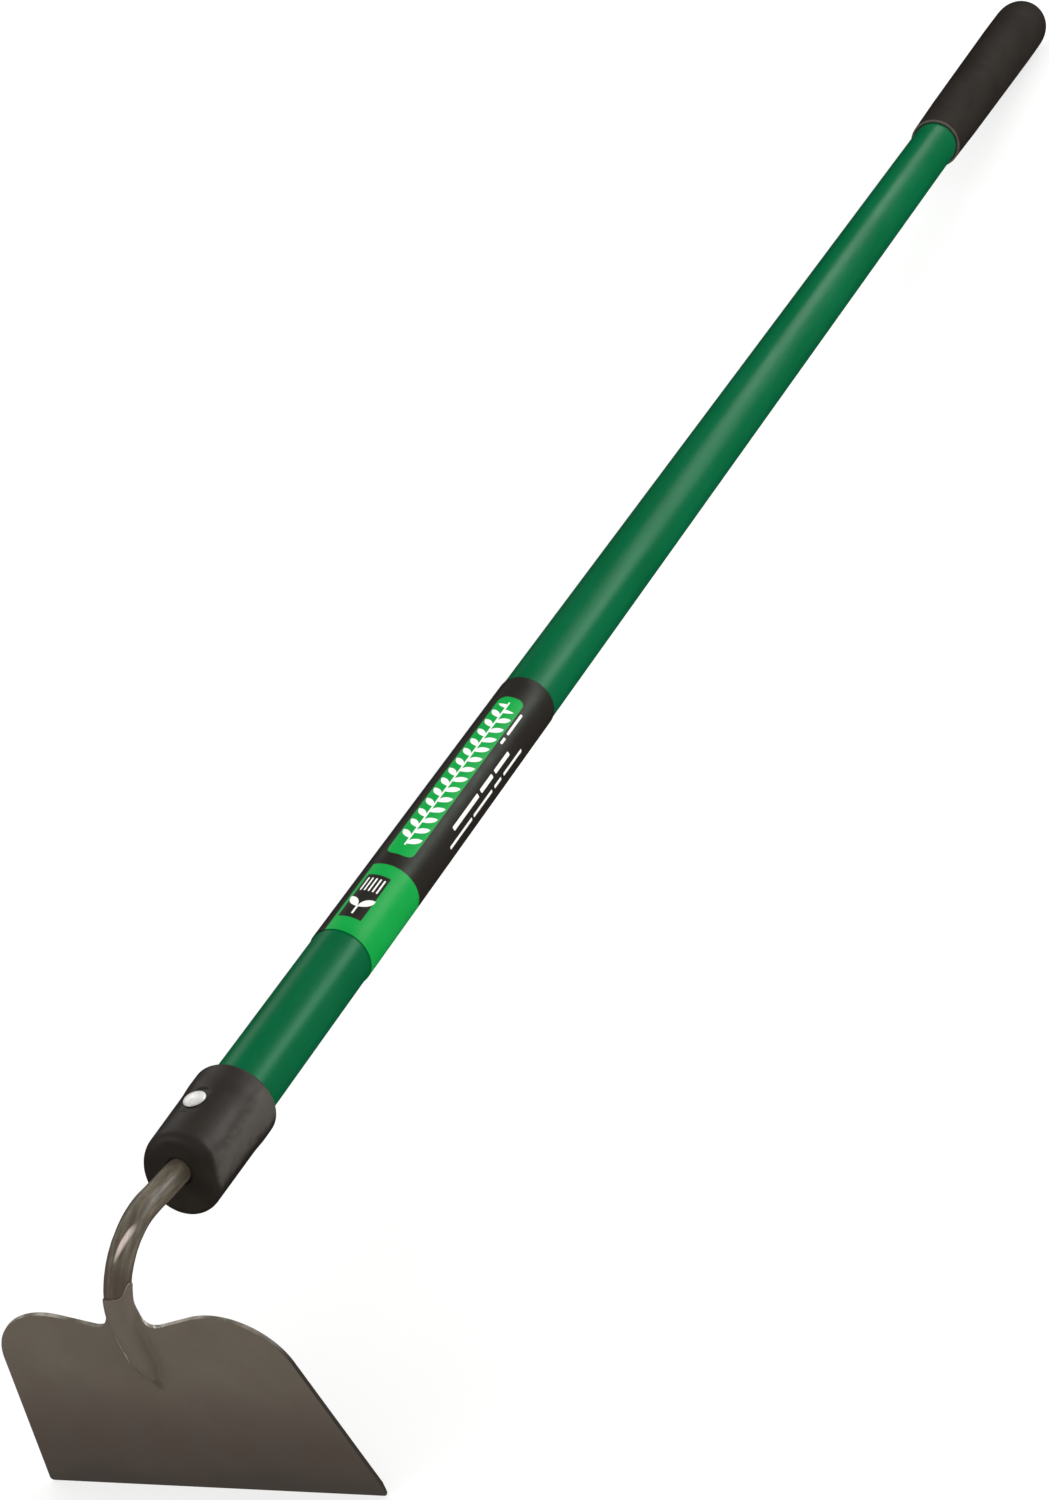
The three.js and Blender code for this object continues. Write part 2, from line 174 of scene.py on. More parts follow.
def lay_out(piece, points, laid):
    """Keeps with each vertex its place on the piece laid out straight or flat, in metres. It comes
    from the nearest of the points that the piece was made from, because some may be drilled away."""
    tree = KDTree(len(points))
    for i, p in enumerate(points):
        tree.insert(PLACE @ Vector(p), i)
    tree.balance()
    attribute = piece.data.attributes.new("laid", "FLOAT_VECTOR", "POINT")
    for vertex, item in zip(piece.data.vertices, attribute.data):
        item.vector = Vector(laid[tree.find(vertex.co)[1]]) * MM


def ring_surface(rings, poles=(None, None), loop=False):
    """Points and faces of a skin over rings of the same number of points. Each end closes on a
    pole, or the last ring joins the first."""
    sides = len(rings[0])
    points = [p for ring in rings for p in ring]
    faces = []
    pairs = [(i, i + 1) for i in range(len(rings) - 1)]
    if loop:
        pairs.append((len(rings) - 1, 0))
    for a, b in pairs:
        for k in range(sides):
            m = (k + 1) % sides
            faces.append((a * sides + k, a * sides + m, b * sides + m, b * sides + k))
    for pole, ring, turn in ((poles[0], 0, False), (poles[1], len(rings) - 1, True)):
        if pole is None:
            continue
        points.append(pole)
        for k in range(sides):
            m = (k + 1) % sides
            rim = (ring * sides + k, ring * sides + m)
            faces.append((*(rim if turn else rim[::-1]), len(points) - 1))
    return points, faces


def turned_ring(x, radius, sides):
    return [
        (x, -radius * math.sin(a), radius * math.cos(a))
        for a in (2 * math.pi * k / sides for k in range(sides))
    ]


def turned(profile, sides=128):
    """A half-section of (x, radius) turned about the handle's axis."""
    open_ends = profile[0][1] > 0
    rings = [turned_ring(x, r, sides) for x, r in profile if r > 0]
    poles = [None if r > 0 else (x, 0, 0) for x, r in (profile[0], profile[-1])]
    return ring_surface(rings, poles, loop=open_ends)


def unrolled(points, faces, radius):
    """A surface map in metres: along the handle, and round it from the underside."""
    maps = []
    for face in faces:
        turns = []
        for i in face:
            x, y, z = points[i]
            turns.append(math.atan2(z, y) / (2 * math.pi) % 1)
        if max(turns) - min(turns) > 0.5:
            turns = [t + 1 if t < 0.5 else t for t in turns]
        maps.append([(points[i][0] * MM, t * 2 * math.pi * radius * MM) for i, t in zip(face, turns)])
    return maps


def rounded(corners, steps=5):
    """A polyline of (x, radius, rounding) with an arc at each corner that has a rounding."""
    points = []
    for i, (x, y, rounding) in enumerate(corners):
        here = Vector((x, y))
        if not rounding or i in (0, len(corners) - 1):
            points.append((x, y))
            continue
        come = (here - Vector(corners[i - 1][:2])).normalized()
        go = (Vector(corners[i + 1][:2]) - here).normalized()
        bend = come.angle_signed(go)
        reach = rounding * math.tan(abs(bend) / 2)
        inward = (go - come).normalized()
        centre = here + inward * (rounding / math.cos(bend / 2))
        start = here - come * reach - centre
        for k in range(steps + 1):
            spoke = start.copy()
            spoke.rotate(Matrix.Rotation(-bend * k / steps, 2))
            points.append(tuple(centre + spoke))
    return points


def filled(profile, spacing):
    """A polyline with points added so that none are further apart than the spacing."""
    points = [profile[0]]
    for (x0, r0), (x1, r1) in zip(profile, profile[1:]):
        parts = max(1, math.ceil(math.hypot(x1 - x0, r1 - r0) / spacing))
        points += [(x0 + (x1 - x0) * k / parts, r0 + (r1 - r0) * k / parts) for k in range(1, parts + 1)]
    return points


def smoothstep(low, high, value):
    t = min(1.0, max(0.0, (value - low) / (high - low)))
    return t * t * (3 - 2 * t)


def drill(piece, cutters):
    """Cuts closed solids, each (points, faces) in the tool's frame, out of a piece for good."""
    for points, faces in cutters:
        mesh = bpy.data.meshes.new("cutter")
        mesh.from_pydata([PLACE @ Vector(p) for p in points], [], faces)
        cutter = bpy.data.objects.new("cutter", mesh)
        bpy.context.scene.collection.objects.link(cutter)
        modifier = piece.modifiers.new("cut", "BOOLEAN")
        modifier.operation, modifier.solver, modifier.object = "DIFFERENCE", "EXACT", cutter
        bpy.context.view_layer.update()
        evaluated = piece.evaluated_get(bpy.context.evaluated_depsgraph_get())
        cut_mesh = bpy.data.meshes.new_from_object(evaluated)
        cut_mesh.name = piece.name
        piece.modifiers.clear()
        piece.data = cut_mesh
        bpy.data.objects.remove(cutter)


def rivet_hole():
    """The hole for the rivet's shank, through everything it passes."""
    reach, sides, radius = 24.0, 32, SHANK_RADIUS + GAP
    rings = [
        [
            (RIVET_X + radius * math.cos(a), radius * math.sin(a), z)
            for a in (2 * math.pi * k / sides for k in range(sides))
        ]
        for z in (-reach, reach)
    ]
    return ring_surface(rings, ((RIVET_X, 0, -reach), (RIVET_X, 0, reach)))


# ---------------------------------------------------------------- neck centreline

ACROSS = Vector((0, -1, 0))
FACE_UP = Vector((-math.sin(BLADE_ANGLE), 0, math.cos(BLADE_ANGLE)))
FACE_OUT = Vector((-math.cos(BLADE_ANGLE), 0, -math.sin(BLADE_ANGLE)))
EDGE_MIDDLE = Vector((EDGE_X, 0, -EDGE_DEPTH))
FACE_HEADING = math.pi / 2 + BLADE_ANGLE


def heading_vector(heading):
    """0 runs along -X and a quarter turn runs straight down."""
    return Vector((-math.cos(heading), 0, -math.sin(heading)))


def straight_leg(start, heading, length):
    return {"length": length, "at": lambda d: (start + heading_vector(heading) * d, heading)}


def arc_leg(start, from_heading, to_heading, radius):
    side = math.copysign(1, to_heading - from_heading)

    def normal(heading):
        return heading_vector(heading + math.pi / 2) * (side * radius)

    centre = start + normal(from_heading)

    def at(distance):
        heading = from_heading + side * distance / radius
        return centre - normal(heading), heading

    return {"length": radius * abs(to_heading - from_heading), "at": at}


def leg_end(leg):
    return leg["at"](leg["length"])[0]


def neck_legs():
    tang = straight_leg(Vector((TANG_END, 0, 0)), 0, TANG_END - RISE_START)
    kick = arc_leg(leg_end(tang), 0, -RISE_ANGLE, SWEEP_RADIUS)

    def bends(start):
        sweep = arc_leg(start, -RISE_ANGLE, SWEEP_HEADING, SWEEP_RADIUS)
        return sweep, arc_leg(leg_end(sweep), SWEEP_HEADING, FACE_HEADING, HEEL_RADIUS)

    foot = leg_end(kick)
    shortfall = CHANNEL_OUT - (leg_end(bends(foot)[1]) - EDGE_MIDDLE).dot(FACE_OUT)
    rise_length = shortfall / heading_vector(-RISE_ANGLE).dot(FACE_OUT)
    rise = straight_leg(foot, -RISE_ANGLE, rise_length)
    sweep, heel = bends(leg_end(rise))
    heel_height = (leg_end(heel) - EDGE_MIDDLE).dot(FACE_UP)
    shank = straight_leg(leg_end(heel), FACE_HEADING, heel_height - NECK_END_HEIGHT)
    return [tang, kick, rise, sweep, heel, shank]


LEGS = neck_legs()
NECK_LENGTH = sum(leg["length"] for leg in LEGS)
CHANNEL_RUN = LEGS[-1]["length"] + HEEL_RADIUS * (FACE_HEADING - CHANNEL_HEADING)


def neck_frame(distance):
    """Point, direction and outward normal of the rod's axis, at a distance from the tang's end."""
    for leg in LEGS[:-1]:
        if distance <= leg["length"]:
            break
        distance -= leg["length"]
    else:
        leg = LEGS[-1]
    point, heading = leg["at"](distance)
    return point, heading_vector(heading), heading_vector(heading - math.pi / 2)


def ear(turn):
    """How far the channel's top has risen to its ear, at an angle round the rod from its front."""
    return max(0.0, math.sin(turn)) ** 7


def rod_ring(distance, radius, sides, wobble=0.0, lean=0.0):
    """A ring of the rod. The wobble is the depth of its forge marks, and the lean is how far the
    ring runs on beyond its distance, except below the channel's ear."""
    ring = []
    for k in range(sides):
        a = 2 * math.pi * k / sides
        point, _, out = neck_frame(distance + lean * (1 - ear(a)))
        spoke = out * math.cos(a) + ACROSS * math.sin(a)
        facet = math.cos(4 * a + 0.6) * 0.5
        dent = noise.noise(point * 0.16 + spoke * 1.3) + 0.5 * noise.noise(point * 0.4 + spoke * 3)
        ring.append(tuple(point + spoke * (radius + wobble * (facet + dent))))
    return ring


# ---------------------------------------------------------------- node graphs


class Graph:
    """A material's node tree, built up with short calls."""

    def __init__(self, name):
        self.material = bpy.data.materials.new(name)
        self.material.use_nodes = True
        self.tree = self.material.node_tree
        self.tree.nodes.clear()
        self.output = self.tree.nodes.new("ShaderNodeOutputMaterial")

    def node(self, kind, settings=None, **inputs):
        made = self.tree.nodes.new("ShaderNode" + kind)
        for key, value in (settings or {}).items():
            setattr(made, key, value)
        for key, value in inputs.items():
            self.feed(made.inputs[key.replace("_", " ")], value)
        return made

    def feed(self, socket, value):
        if isinstance(value, bpy.types.NodeSocket):
            self.tree.links.new(value, socket)
        elif value is not None:
            socket.default_value = value

    def math(self, operation, a, b=None, c=None, clamp=False):
        made = self.tree.nodes.new("ShaderNodeMath")
        made.operation, made.use_clamp = operation, clamp
        for socket, value in zip(made.inputs, (a, b, c)):
            self.feed(socket, value)
        return made.outputs[0]

    def mix(self, share, a, b):
        made = self.tree.nodes.new("ShaderNodeMix")
        made.data_type = "RGBA"
        self.feed(made.inputs[0], share)
        self.feed(made.inputs[6], a)
        self.feed(made.inputs[7], b)
        return made.outputs[2]

    def between(self, value, low, high, to_low=0.0, to_high=1.0):
        made = self.node("MapRange", {"interpolation_type": "SMOOTHSTEP"})
        for socket, given in zip(made.inputs, (value, low, high, to_low, to_high)):
            self.feed(socket, given)
        return made.outputs[0]

    def laid(self):
        """The place on the piece laid out straight or flat, in metres."""
        return self.node("Attribute", {"attribute_name": "laid"}).outputs["Vector"]

    def place(self, stretch=(1, 1, 1), source=None):
        """A place in metres, scaled along each axis: in the row frame unless a source is given."""
        coordinates = source or self.node("TexCoord").outputs["Object"]
        return self.node("Mapping", Vector=coordinates, Scale=stretch).outputs[0]

    def split(self, source=None):
        """The three coordinates of a place, in millimetres."""
        outputs = self.node("SeparateXYZ", Vector=self.place((1 / MM,) * 3, source)).outputs
        return outputs["X"], outputs["Y"], outputs["Z"]

    def noise(self, scale, detail=3.0, roughness=0.5, stretch=(1, 1, 1), source=None):
        place = self.place(stretch, source)
        made = self.node("TexNoise", Vector=place, Scale=scale, Detail=detail)
        self.feed(made.inputs["Roughness"], roughness)
        return made.outputs["Fac"]

    def spot(self, offsets, reaches):
        """1 at the middle of a soft round spot, from offsets and how far it reaches along each."""
        squares = 0.0
        for offset, reach in zip(offsets, reaches):
            share = self.math("DIVIDE", offset, reach)
            squares = self.math("MULTIPLY_ADD", share, share, squares)
        return self.between(squares, 1.0, 0.0)

    def bump(self, height, depth_mm, below=None):
        made = self.node("Bump", Height=height, Distance=depth_mm * MM)
        if below is not None:
            self.feed(made.inputs["Normal"], below)
        return made.outputs[0]

    def finish(self, color, roughness, normal=None, **fixed):
        """Ends the tree in one Principled shader, whose fixed sockets hold plain numbers."""
        shader = self.node("BsdfPrincipled")
        self.feed(shader.inputs["Base Color"], color)
        self.feed(shader.inputs["Roughness"], roughness)
        if normal is not None:
            self.feed(shader.inputs["Normal"], normal)
        for key, value in fixed.items():
            shader.inputs[key.replace("_", " ")].default_value = value
        self.tree.links.new(shader.outputs[0], self.output.inputs[0])
        return self.material


def rgb(red, green, blue):
    """A linear colour from 8-bit sRGB values."""

    def linear(value):
        value /= 255
        return value / 12.92 if value <= 0.04045 else ((value + 0.055) / 1.055) ** 2.4

    return (linear(red), linear(green), linear(blue), 1.0)


# ---------------------------------------------------------------- materials

HANDLE_AXIS_STRETCH = (0.04, 1, 1)  # grain drawn out along the handle, which lies nearly along X
BEND_HIGHLIGHT_PLACE, BEND_HIGHLIGHT_REACH = (124.0, 2.6), (9.0, 1.3)  # painted highlight on the neck's bend: along it and across


def enamel_surface(g, color, roughness, depth, specular=0.35):
    """Ends an enamel: orange peel, shallow dents and a slightly uneven sheen."""
    speck = g.between(g.noise(900, 2), 0.66, 0.74)
    color = g.mix(g.math("MULTIPLY", speck, 0.2), color, rgb(66, 58, 50))
    sheen = g.between(g.noise(60, 3), 0.3, 0.7, roughness - 0.05, roughness + 0.07)
    peel = g.bump(g.noise(650, 2), depth)
    dents = g.bump(g.noise(110, 3), depth * 3, peel)
    return g.finish(color, sheen, dents, Specular_IOR_Level=specular)


def blade_enamel():
    """Grey-brown satin enamel, warmer towards the cutting edge, with a painted highlight by the
    channel's crease and painted shade at its tip.
    """
    g = Graph("blade_enamel")
    color = g.mix(g.between(g.noise(38, 4, 0.55), 0.32, 0.7), rgb(102, 93, 81), rgb(107, 98, 85))
    level = g.split()[2]
    ragged = g.math("MULTIPLY_ADD", g.noise(24, 3), 24, level)
    color = g.mix(g.between(ragged, 92, 24), color, rgb(83, 72, 64))
    color = g.mix(g.between(ragged, 28, 10), color, rgb(74, 67, 60))
    beyond, height, along = g.split(g.laid())
    # painted highlight just inside the channel's flank, beside its crease, broken by noise
    drift = g.math("MULTIPLY", g.math("MAXIMUM", g.math("SUBTRACT", 78.0, height), 0.0), -0.2)
    flank = g.math("ADD", g.math("ADD", beyond, 5.6), drift)
    crease = g.spot((flank, g.math("SUBTRACT", height, 80)), (1.5, 11))
    painted_crease_highlight = g.math("MULTIPLY", crease, g.between(along, 1, -2))
    painted_crease_highlight = g.math("MULTIPLY", painted_crease_highlight, g.between(g.noise(170, 3), 0.3, 0.6))
    color = g.mix(painted_crease_highlight, color, rgb(168, 160, 148))
    # painted shade at the channel's tip
    tip = (g.math("SUBTRACT", along, 0.8), g.math("SUBTRACT", height, CHANNEL_TIP_HEIGHT + 2))
    color = g.mix(g.math("MULTIPLY", g.spot(tip, (2.8, 5)), 0.35), color, rgb(62, 54, 47))
    return enamel_surface(g, color, 0.45, 0.03)


def rim_enamel():
    """The blade's sheared rim: painted shade at the sides, a painted highlight along the top, and
    painted glints by the rod.
    """
    g = Graph("rim_enamel")
    _, across, level = g.split()
    # darker low down and lighter towards the top: painted shade on the side rims
    color = g.mix(g.between(level, 70, 88), rgb(58, 51, 44), rgb(96, 88, 77))
    # painted highlight along the top rim, broken by noise
    painted_top_highlight = g.math("MULTIPLY", g.between(g.noise(70, 3), 0.35, 0.6), g.between(level, 84, 94))
    color = g.mix(painted_top_highlight, color, rgb(176, 168, 156))
    by_rod = g.spot((g.math("ADD", across, 11), g.math("SUBTRACT", level, 92)), (9, 9))
    # painted glints: bright spots on the rim beside the rod, whose lumps are the bump below
    painted_notch_glints = g.math("MULTIPLY", by_rod, g.between(g.noise(480, 2), 0.45, 0.58))
    color = g.mix(painted_notch_glints, color, rgb(214, 208, 198))
    lumps = g.bump(g.math("MULTIPLY", g.noise(420, 2), by_rod), 1.6)
    return g.finish(color, 0.36, lumps, Specular_IOR_Level=0.5)


def neck_enamel():
    """Enamel over a forged rod: streaks along it, brown by the weld, with a painted highlight on its
    bend.
    """
    g = Graph("neck_enamel")
    straight = g.laid()
    streaks = g.noise(560, 4, 0.6, (0.12, 1, 1), straight)
    color = g.mix(g.between(streaks, 0.34, 0.66), rgb(83, 76, 64), rgb(110, 102, 87))
    color = g.mix(g.between(g.noise(130, 4, 0.6), 0.5, 0.7, 0, 0.5), color, rgb(78, 69, 58))
    scratch = g.between(g.noise(1300, 2, 0.5, (0.04, 1, 1), straight), 0.62, 0.7)
    color = g.mix(g.math("MULTIPLY", scratch, 0.5), color, rgb(146, 136, 124))
    along, across, out = g.split(straight)
    shoulder = NECK_LENGTH - CHANNEL_RUN
    heated = g.math("MULTIPLY_ADD", g.noise(190, 3), 9, along)
    color = g.mix(g.between(heated, shoulder - 3, shoulder + 4, 0, 0.8), color, rgb(82, 69, 59))
    # painted highlight on the rod's bend, broken by noise
    from_bend = g.math("SUBTRACT", along, BEND_HIGHLIGHT_PLACE[0])
    off_line = g.math("MULTIPLY_ADD", from_bend, 0.2, g.math("SUBTRACT", across, BEND_HIGHLIGHT_PLACE[1]))
    painted_bend_highlight = g.math("MULTIPLY", g.spot((from_bend, off_line), BEND_HIGHLIGHT_REACH), g.between(out, 0, 1))
    broken = g.math("MULTIPLY", g.noise(900, 3, 0.6, (0.25, 1, 1), straight), 2.0)
    color = g.mix(g.math("MULTIPLY", painted_bend_highlight, broken, clamp=True), color, rgb(214, 198, 190))
    sheen = g.between(streaks, 0.3, 0.7, 0.42, 0.3)
    grain = g.bump(streaks, 0.1)
    dents = g.bump(g.noise(150, 3), 0.2, grain)
    return g.finish(color, sheen, dents, Specular_IOR_Level=0.4)


def weld_enamel():
    """Painted weld with bright spots where the paint is thin."""
    g = Graph("weld_enamel")
    color = g.mix(g.between(g.noise(90, 3), 0.35, 0.65), rgb(96, 87, 75), rgb(134, 125, 112))
    bright = g.math("MULTIPLY", g.between(g.noise(420, 2), 0.58, 0.66), 0.8)
    color = g.mix(bright, color, rgb(210, 204, 196))
    return enamel_surface(g, color, 0.38, 0.1, 0.45)


def moulding(name, light, dark, roughness, grain_scale, grain_depth, specular, ground_reflection=None):
    """Black moulded plastic or rubber with a fine grain and faint flow marks, and paler from
    one place across the tool to another, in millimetres, as a painted reflection of the ground."""
    g = Graph(name)
    cloud = g.noise(55, 3, 0.5, (0.5, 1, 1))
    color = g.mix(g.between(cloud, 0.3, 0.7), dark, light)
    if ground_reflection:
        # painted reflection of the ground: a pale band with a ragged edge across the tool
        ragged = g.math("MULTIPLY_ADD", g.noise(240, 4, 0.6), 2.4, g.split()[1])
        color = g.mix(g.between(ragged, *ground_reflection, 0, 0.75), color, rgb(92, 87, 82))
    sheen = g.between(g.noise(80, 3), 0.3, 0.7, roughness - 0.05, roughness + 0.06)
    grain = g.bump(g.noise(grain_scale, 2), grain_depth)
    ripple = g.bump(g.noise(160, 2, 0.5, (0.3, 1, 1)), grain_depth * 1.5, grain)
    tint = (1.0, 0.93, 0.86, 1.0)
    return g.finish(color, sheen, ripple, Specular_IOR_Level=specular, Specular_Tint=tint)


def rubber_lip():
    """The grip's rolled lip, paler all over: a painted highlight on its rim."""
    g = Graph("rubber_lip")
    color = g.mix(g.between(g.noise(120, 3), 0.3, 0.7), rgb(72, 65, 58), rgb(92, 84, 76))
    return g.finish(color, 0.6, g.bump(g.noise(1100, 2), 0.04), Specular_IOR_Level=0.2)


def plated_steel():
    """Zinc-plated steel with light hammer marks, near white and mostly matt: a painted reflection of
    bright surroundings.
    """
    g = Graph("plated_steel")
    color = g.mix(g.between(g.noise(420, 3), 0.35, 0.7), rgb(240, 238, 233), rgb(252, 250, 247))
    sheen = g.between(g.noise(700, 3), 0.3, 0.7, 0.26, 0.4)
    return g.finish(color, sheen, g.bump(g.noise(520, 2), 0.07), Metallic=0.25)


def green_fibreglass():
    """Green pultruded fibreglass: satin, with the grain of its fibres along the handle."""
    g = Graph("green_fibreglass")
    fibres = g.noise(900, 3, 0.6, HANDLE_AXIS_STRETCH)
    clouds = g.noise(30, 3, 0.5, (0.3, 1, 1))
    color = g.mix(g.between(clouds, 0.3, 0.7), rgb(0, 96, 55), rgb(2, 102, 61))
    color = g.mix(g.math("MULTIPLY", g.between(fibres, 0.45, 0.75), 0.25), color, rgb(8, 112, 69))
    sheen = g.between(g.noise(70, 3, 0.5, (0.3, 1, 1)), 0.3, 0.7, 0.3, 0.36)
    tint = (0.38, 1.0, 0.64, 1.0)
    return g.finish(color, sheen, g.bump(fibres, 0.012), Specular_IOR_Level=0.25, Specular_Tint=tint)


def nylon():
    """Natural nylon of the two plugs inside the tube."""
    g = Graph("nylon")
    color = g.mix(g.noise(90, 3), rgb(178, 172, 152), rgb(196, 190, 172))
    sheen = g.between(g.noise(200, 2), 0.3, 0.7, 0.5, 0.65)
    return g.finish(color, sheen, g.bump(g.noise(900, 2), 0.03), Subsurface_Weight=0.05)


class Print:
    """Flat printed shapes on the label, in millimetres along the handle and degrees round it."""

    def __init__(self, graph):
        self.g = graph
        surface = graph.node("UVMap", {"uv_map": "Surface"}).outputs[0]
        self.along, self.round, _ = graph.split(surface)

    def inside(self, distance):
        """1 where a signed distance in millimetres is negative, with a crisp printed edge."""
        return self.g.math("MULTIPLY_ADD", distance, -12.0, 0.5, clamp=True)

    def both(self, a, b):
        return self.g.math("MULTIPLY", a, b)

    def box(self, start, end, low_degrees, high_degrees, corner=0.0):
        """A rectangle with rounded corners."""
        g = self.g
        low, high = (math.radians(d) * LABEL_OUTER for d in (low_degrees, high_degrees))
        reach = []
        for value, a, b in ((self.along, start, end), (self.round, low, high)):
            off = g.math("ABSOLUTE", g.math("SUBTRACT", value, (a + b) / 2))
            reach.append(g.math("SUBTRACT", off, (b - a) / 2 - corner))
        outside = [g.math("MAXIMUM", r, 0.0) for r in reach]
        squares = g.math("MULTIPLY_ADD", outside[0], outside[0], g.math("POWER", outside[1], 2.0))
        inner = g.math("MINIMUM", g.math("MAXIMUM", *reach), 0.0)
        return self.inside(g.math("SUBTRACT", g.math("ADD", g.math("SQRT", squares), inner), corner))

    def leaf(self, across, up, length, width, lean):
        """A pointed leaf, the overlap of two discs, from offsets in millimetres off its middle."""
        g = self.g
        c, s = math.cos(lean), math.sin(lean)
        tip = g.math("MULTIPLY_ADD", across, c, g.math("MULTIPLY", up, s))
        side = g.math("MULTIPLY_ADD", up, c, g.math("MULTIPLY", across, -s))
        disc = (length**2 / width + width) / 4
        off = g.math("ADD", g.math("ABSOLUTE", side), disc - width / 2)
        squares = g.math("MULTIPLY_ADD", tip, tip, g.math("POWER", off, 2.0))
        return self.inside(g.math("SUBTRACT", g.math("SQRT", squares), disc))

    def up_from(self, degrees):
        return self.g.math("SUBTRACT", self.round, math.radians(degrees) * LABEL_OUTER)

    def sprig(self, start, end, degrees, count, length, width):
        """A plain straight stem with leaves in turn on its two sides."""
        g = self.g
        pitch = (end - start) / count
        up = self.up_from(degrees)
        shape = self.box(start, end + 2, degrees - 1.5, degrees + 1.5, 0.3)
        for side in (1, -1):
            begin = start + (0 if side > 0 else pitch / 2)
            shifted = g.math("SUBTRACT", self.along, begin)
            across = g.math("SUBTRACT", g.math("MODULO", shifted, pitch), pitch / 2)
            off_stem = g.math("SUBTRACT", up, side * length * 0.33)
            leaf = self.leaf(across, off_stem, length, width, side * math.radians(42))
            row = self.box(begin, begin + pitch * (count - 0.5), degrees - 40, degrees + 40)
            shape = g.math("MAXIMUM", shape, self.both(row, leaf))
        return shape

    def sprout(self, place, degrees, size):
        """Two leaves on a short stem."""
        g = self.g
        across = g.math("SUBTRACT", self.along, place)
        up = self.up_from(degrees)
        shape = self.box(place - size * 0.5, place, degrees - 1.8, degrees + 1.8, 0.3)
        for side in (1, -1):
            off = g.math("SUBTRACT", up, side * size * 0.24)
            ahead = g.math("SUBTRACT", across, size * 0.22)
            leaf = self.leaf(ahead, off, size * 0.72, size * 0.3, side * math.radians(38))
            shape = g.math("MAXIMUM", shape, leaf)
        return shape


def label_film():
    """The printed film: a black sleeve, a bright green band and panel, and plain shapes only."""
    g = Graph("label_film")
    p = Print(g)
    black, bright, white = rgb(43, 39, 35), rgb(0, 166, 68), rgb(250, 250, 246)
    color = g.mix(p.box(LABEL_START - 5, 157.5, 81, 330), black, bright)
    color = g.mix(p.box(166.5, 302.5, 87, 137.5, 4.0), color, bright)
    color = g.mix(p.sprig(174, 296, 112, 14, 8.4, 3.3), color, white)
    color = g.mix(p.box(116.5, 149, 87, 130, 0.6), color, black)
    color = g.mix(p.sprout(125.5, 108.5, 12.5), color, white)
    bars = [(136.5, 146.5, 92 + 7.5 * k, 95 + 7.5 * k) for k in range(5)]
    bars += [(202, 231, 163, 171), (234, 248, 163, 171), (251, 268, 163, 171)]
    bars += [(194, 219, 184, 190), (221, 243, 184, 190), (246, 254, 184, 190), (257, 279, 184, 190)]
    bars += [(268, 273, 142, 147), (276, 294, 142, 147)]
    for start, end, low, high in bars:
        color = g.mix(p.box(start, end, low, high, 0.5), color, white)
    clouds = g.between(g.noise(45, 3), 0.3, 0.7, 0.95, 1.03)
    shade = g.node("HueSaturation", Color=color, Value=clouds)
    sheen = g.between(g.noise(90, 3), 0.3, 0.7, 0.36, 0.44)
    crease = g.bump(g.noise(240, 2, 0.5, (0.3, 1, 1)), 0.02)
    tint = (0.8, 1.0, 0.86, 1.0)
    return g.finish(shade.outputs[0], sheen, crease, Specular_IOR_Level=0.2, Specular_Tint=tint)


# ---------------------------------------------------------------- blade


def arc(across, height, radius, from_angle, to_angle, steps):
    return [
        (across + radius * math.cos(a), height + radius * math.sin(a))
        for a in (from_angle + (to_angle - from_angle) * k / steps for k in range(steps + 1))
    ]


def bump_radius(height):
    """Radius of the pressed half round, shrinking to nothing at the channel's tip."""
    if height >= NECK_END_HEIGHT:
        return CHANNEL_RADIUS
    t = min(1.0, (NECK_END_HEIGHT - height) / (NECK_END_HEIGHT - CHANNEL_TIP_HEIGHT))
    return max(-CHANNEL_OUT + 1e-4, CHANNEL_RADIUS * (1 - t**CHANNEL_FADE))


def bump_turn(radius):
    """How far round the half round the sheet follows before its fillet to the flat plate."""
    return math.acos(min(1.0, (CHANNEL_FILLET - CHANNEL_OUT) / (radius + CHANNEL_FILLET)))


def section(along, height, fold):
    """A point of the pressed sheet's front across the channel: how far across and how far out of
    the blade's face, for a distance along the sheet from its middle. Fold 1 lies beside the rod."""
    radius = bump_radius(height)
    turn = bump_turn(radius) * (1 - fold) + math.pi / 2 * fold
    end = math.pi / 2 * fold
    if along <= radius * turn:
        a = along / radius
        return radius * math.sin(a), CHANNEL_OUT + radius * math.cos(a)
    x, z = radius * math.sin(turn), CHANNEL_OUT + radius * math.cos(turn)
    along -= radius * turn
    bend = min(along / CHANNEL_FILLET, turn - end)
    now = turn - bend
    x += CHANNEL_FILLET * (math.sin(turn) - math.sin(now))
    z += CHANNEL_FILLET * (math.cos(turn) - math.cos(now))
    rest = along - bend * CHANNEL_FILLET
    return x + rest * math.cos(now), z - rest * math.sin(now)


def half_bump(height):
    """Distance along the sheet, and across the blade, from the middle to the end of the fillet."""
    radius = bump_radius(height)
    turn = bump_turn(radius)
    return (radius + CHANNEL_FILLET) * turn, (radius + CHANNEL_FILLET) * math.sin(turn)


def spare(height):
    """How much longer the sheet is than the blade is wide, on one side, because of the channel."""
    along, across = half_bump(height)
    return along - across


def sheet_width(height):
    """Half the tongue's width along the sheet."""
    growth = smoothstep(FLAP_FOLD_START, FLAP_FOLD_END, height)
    return half_bump(height)[0] + FLAP_ROOT + (FLAP_TOP - FLAP_ROOT - CHANNEL_FILLET) * growth


TONGUE_TOP = NECK_END_HEIGHT + CHANNEL_RUN - 0.06


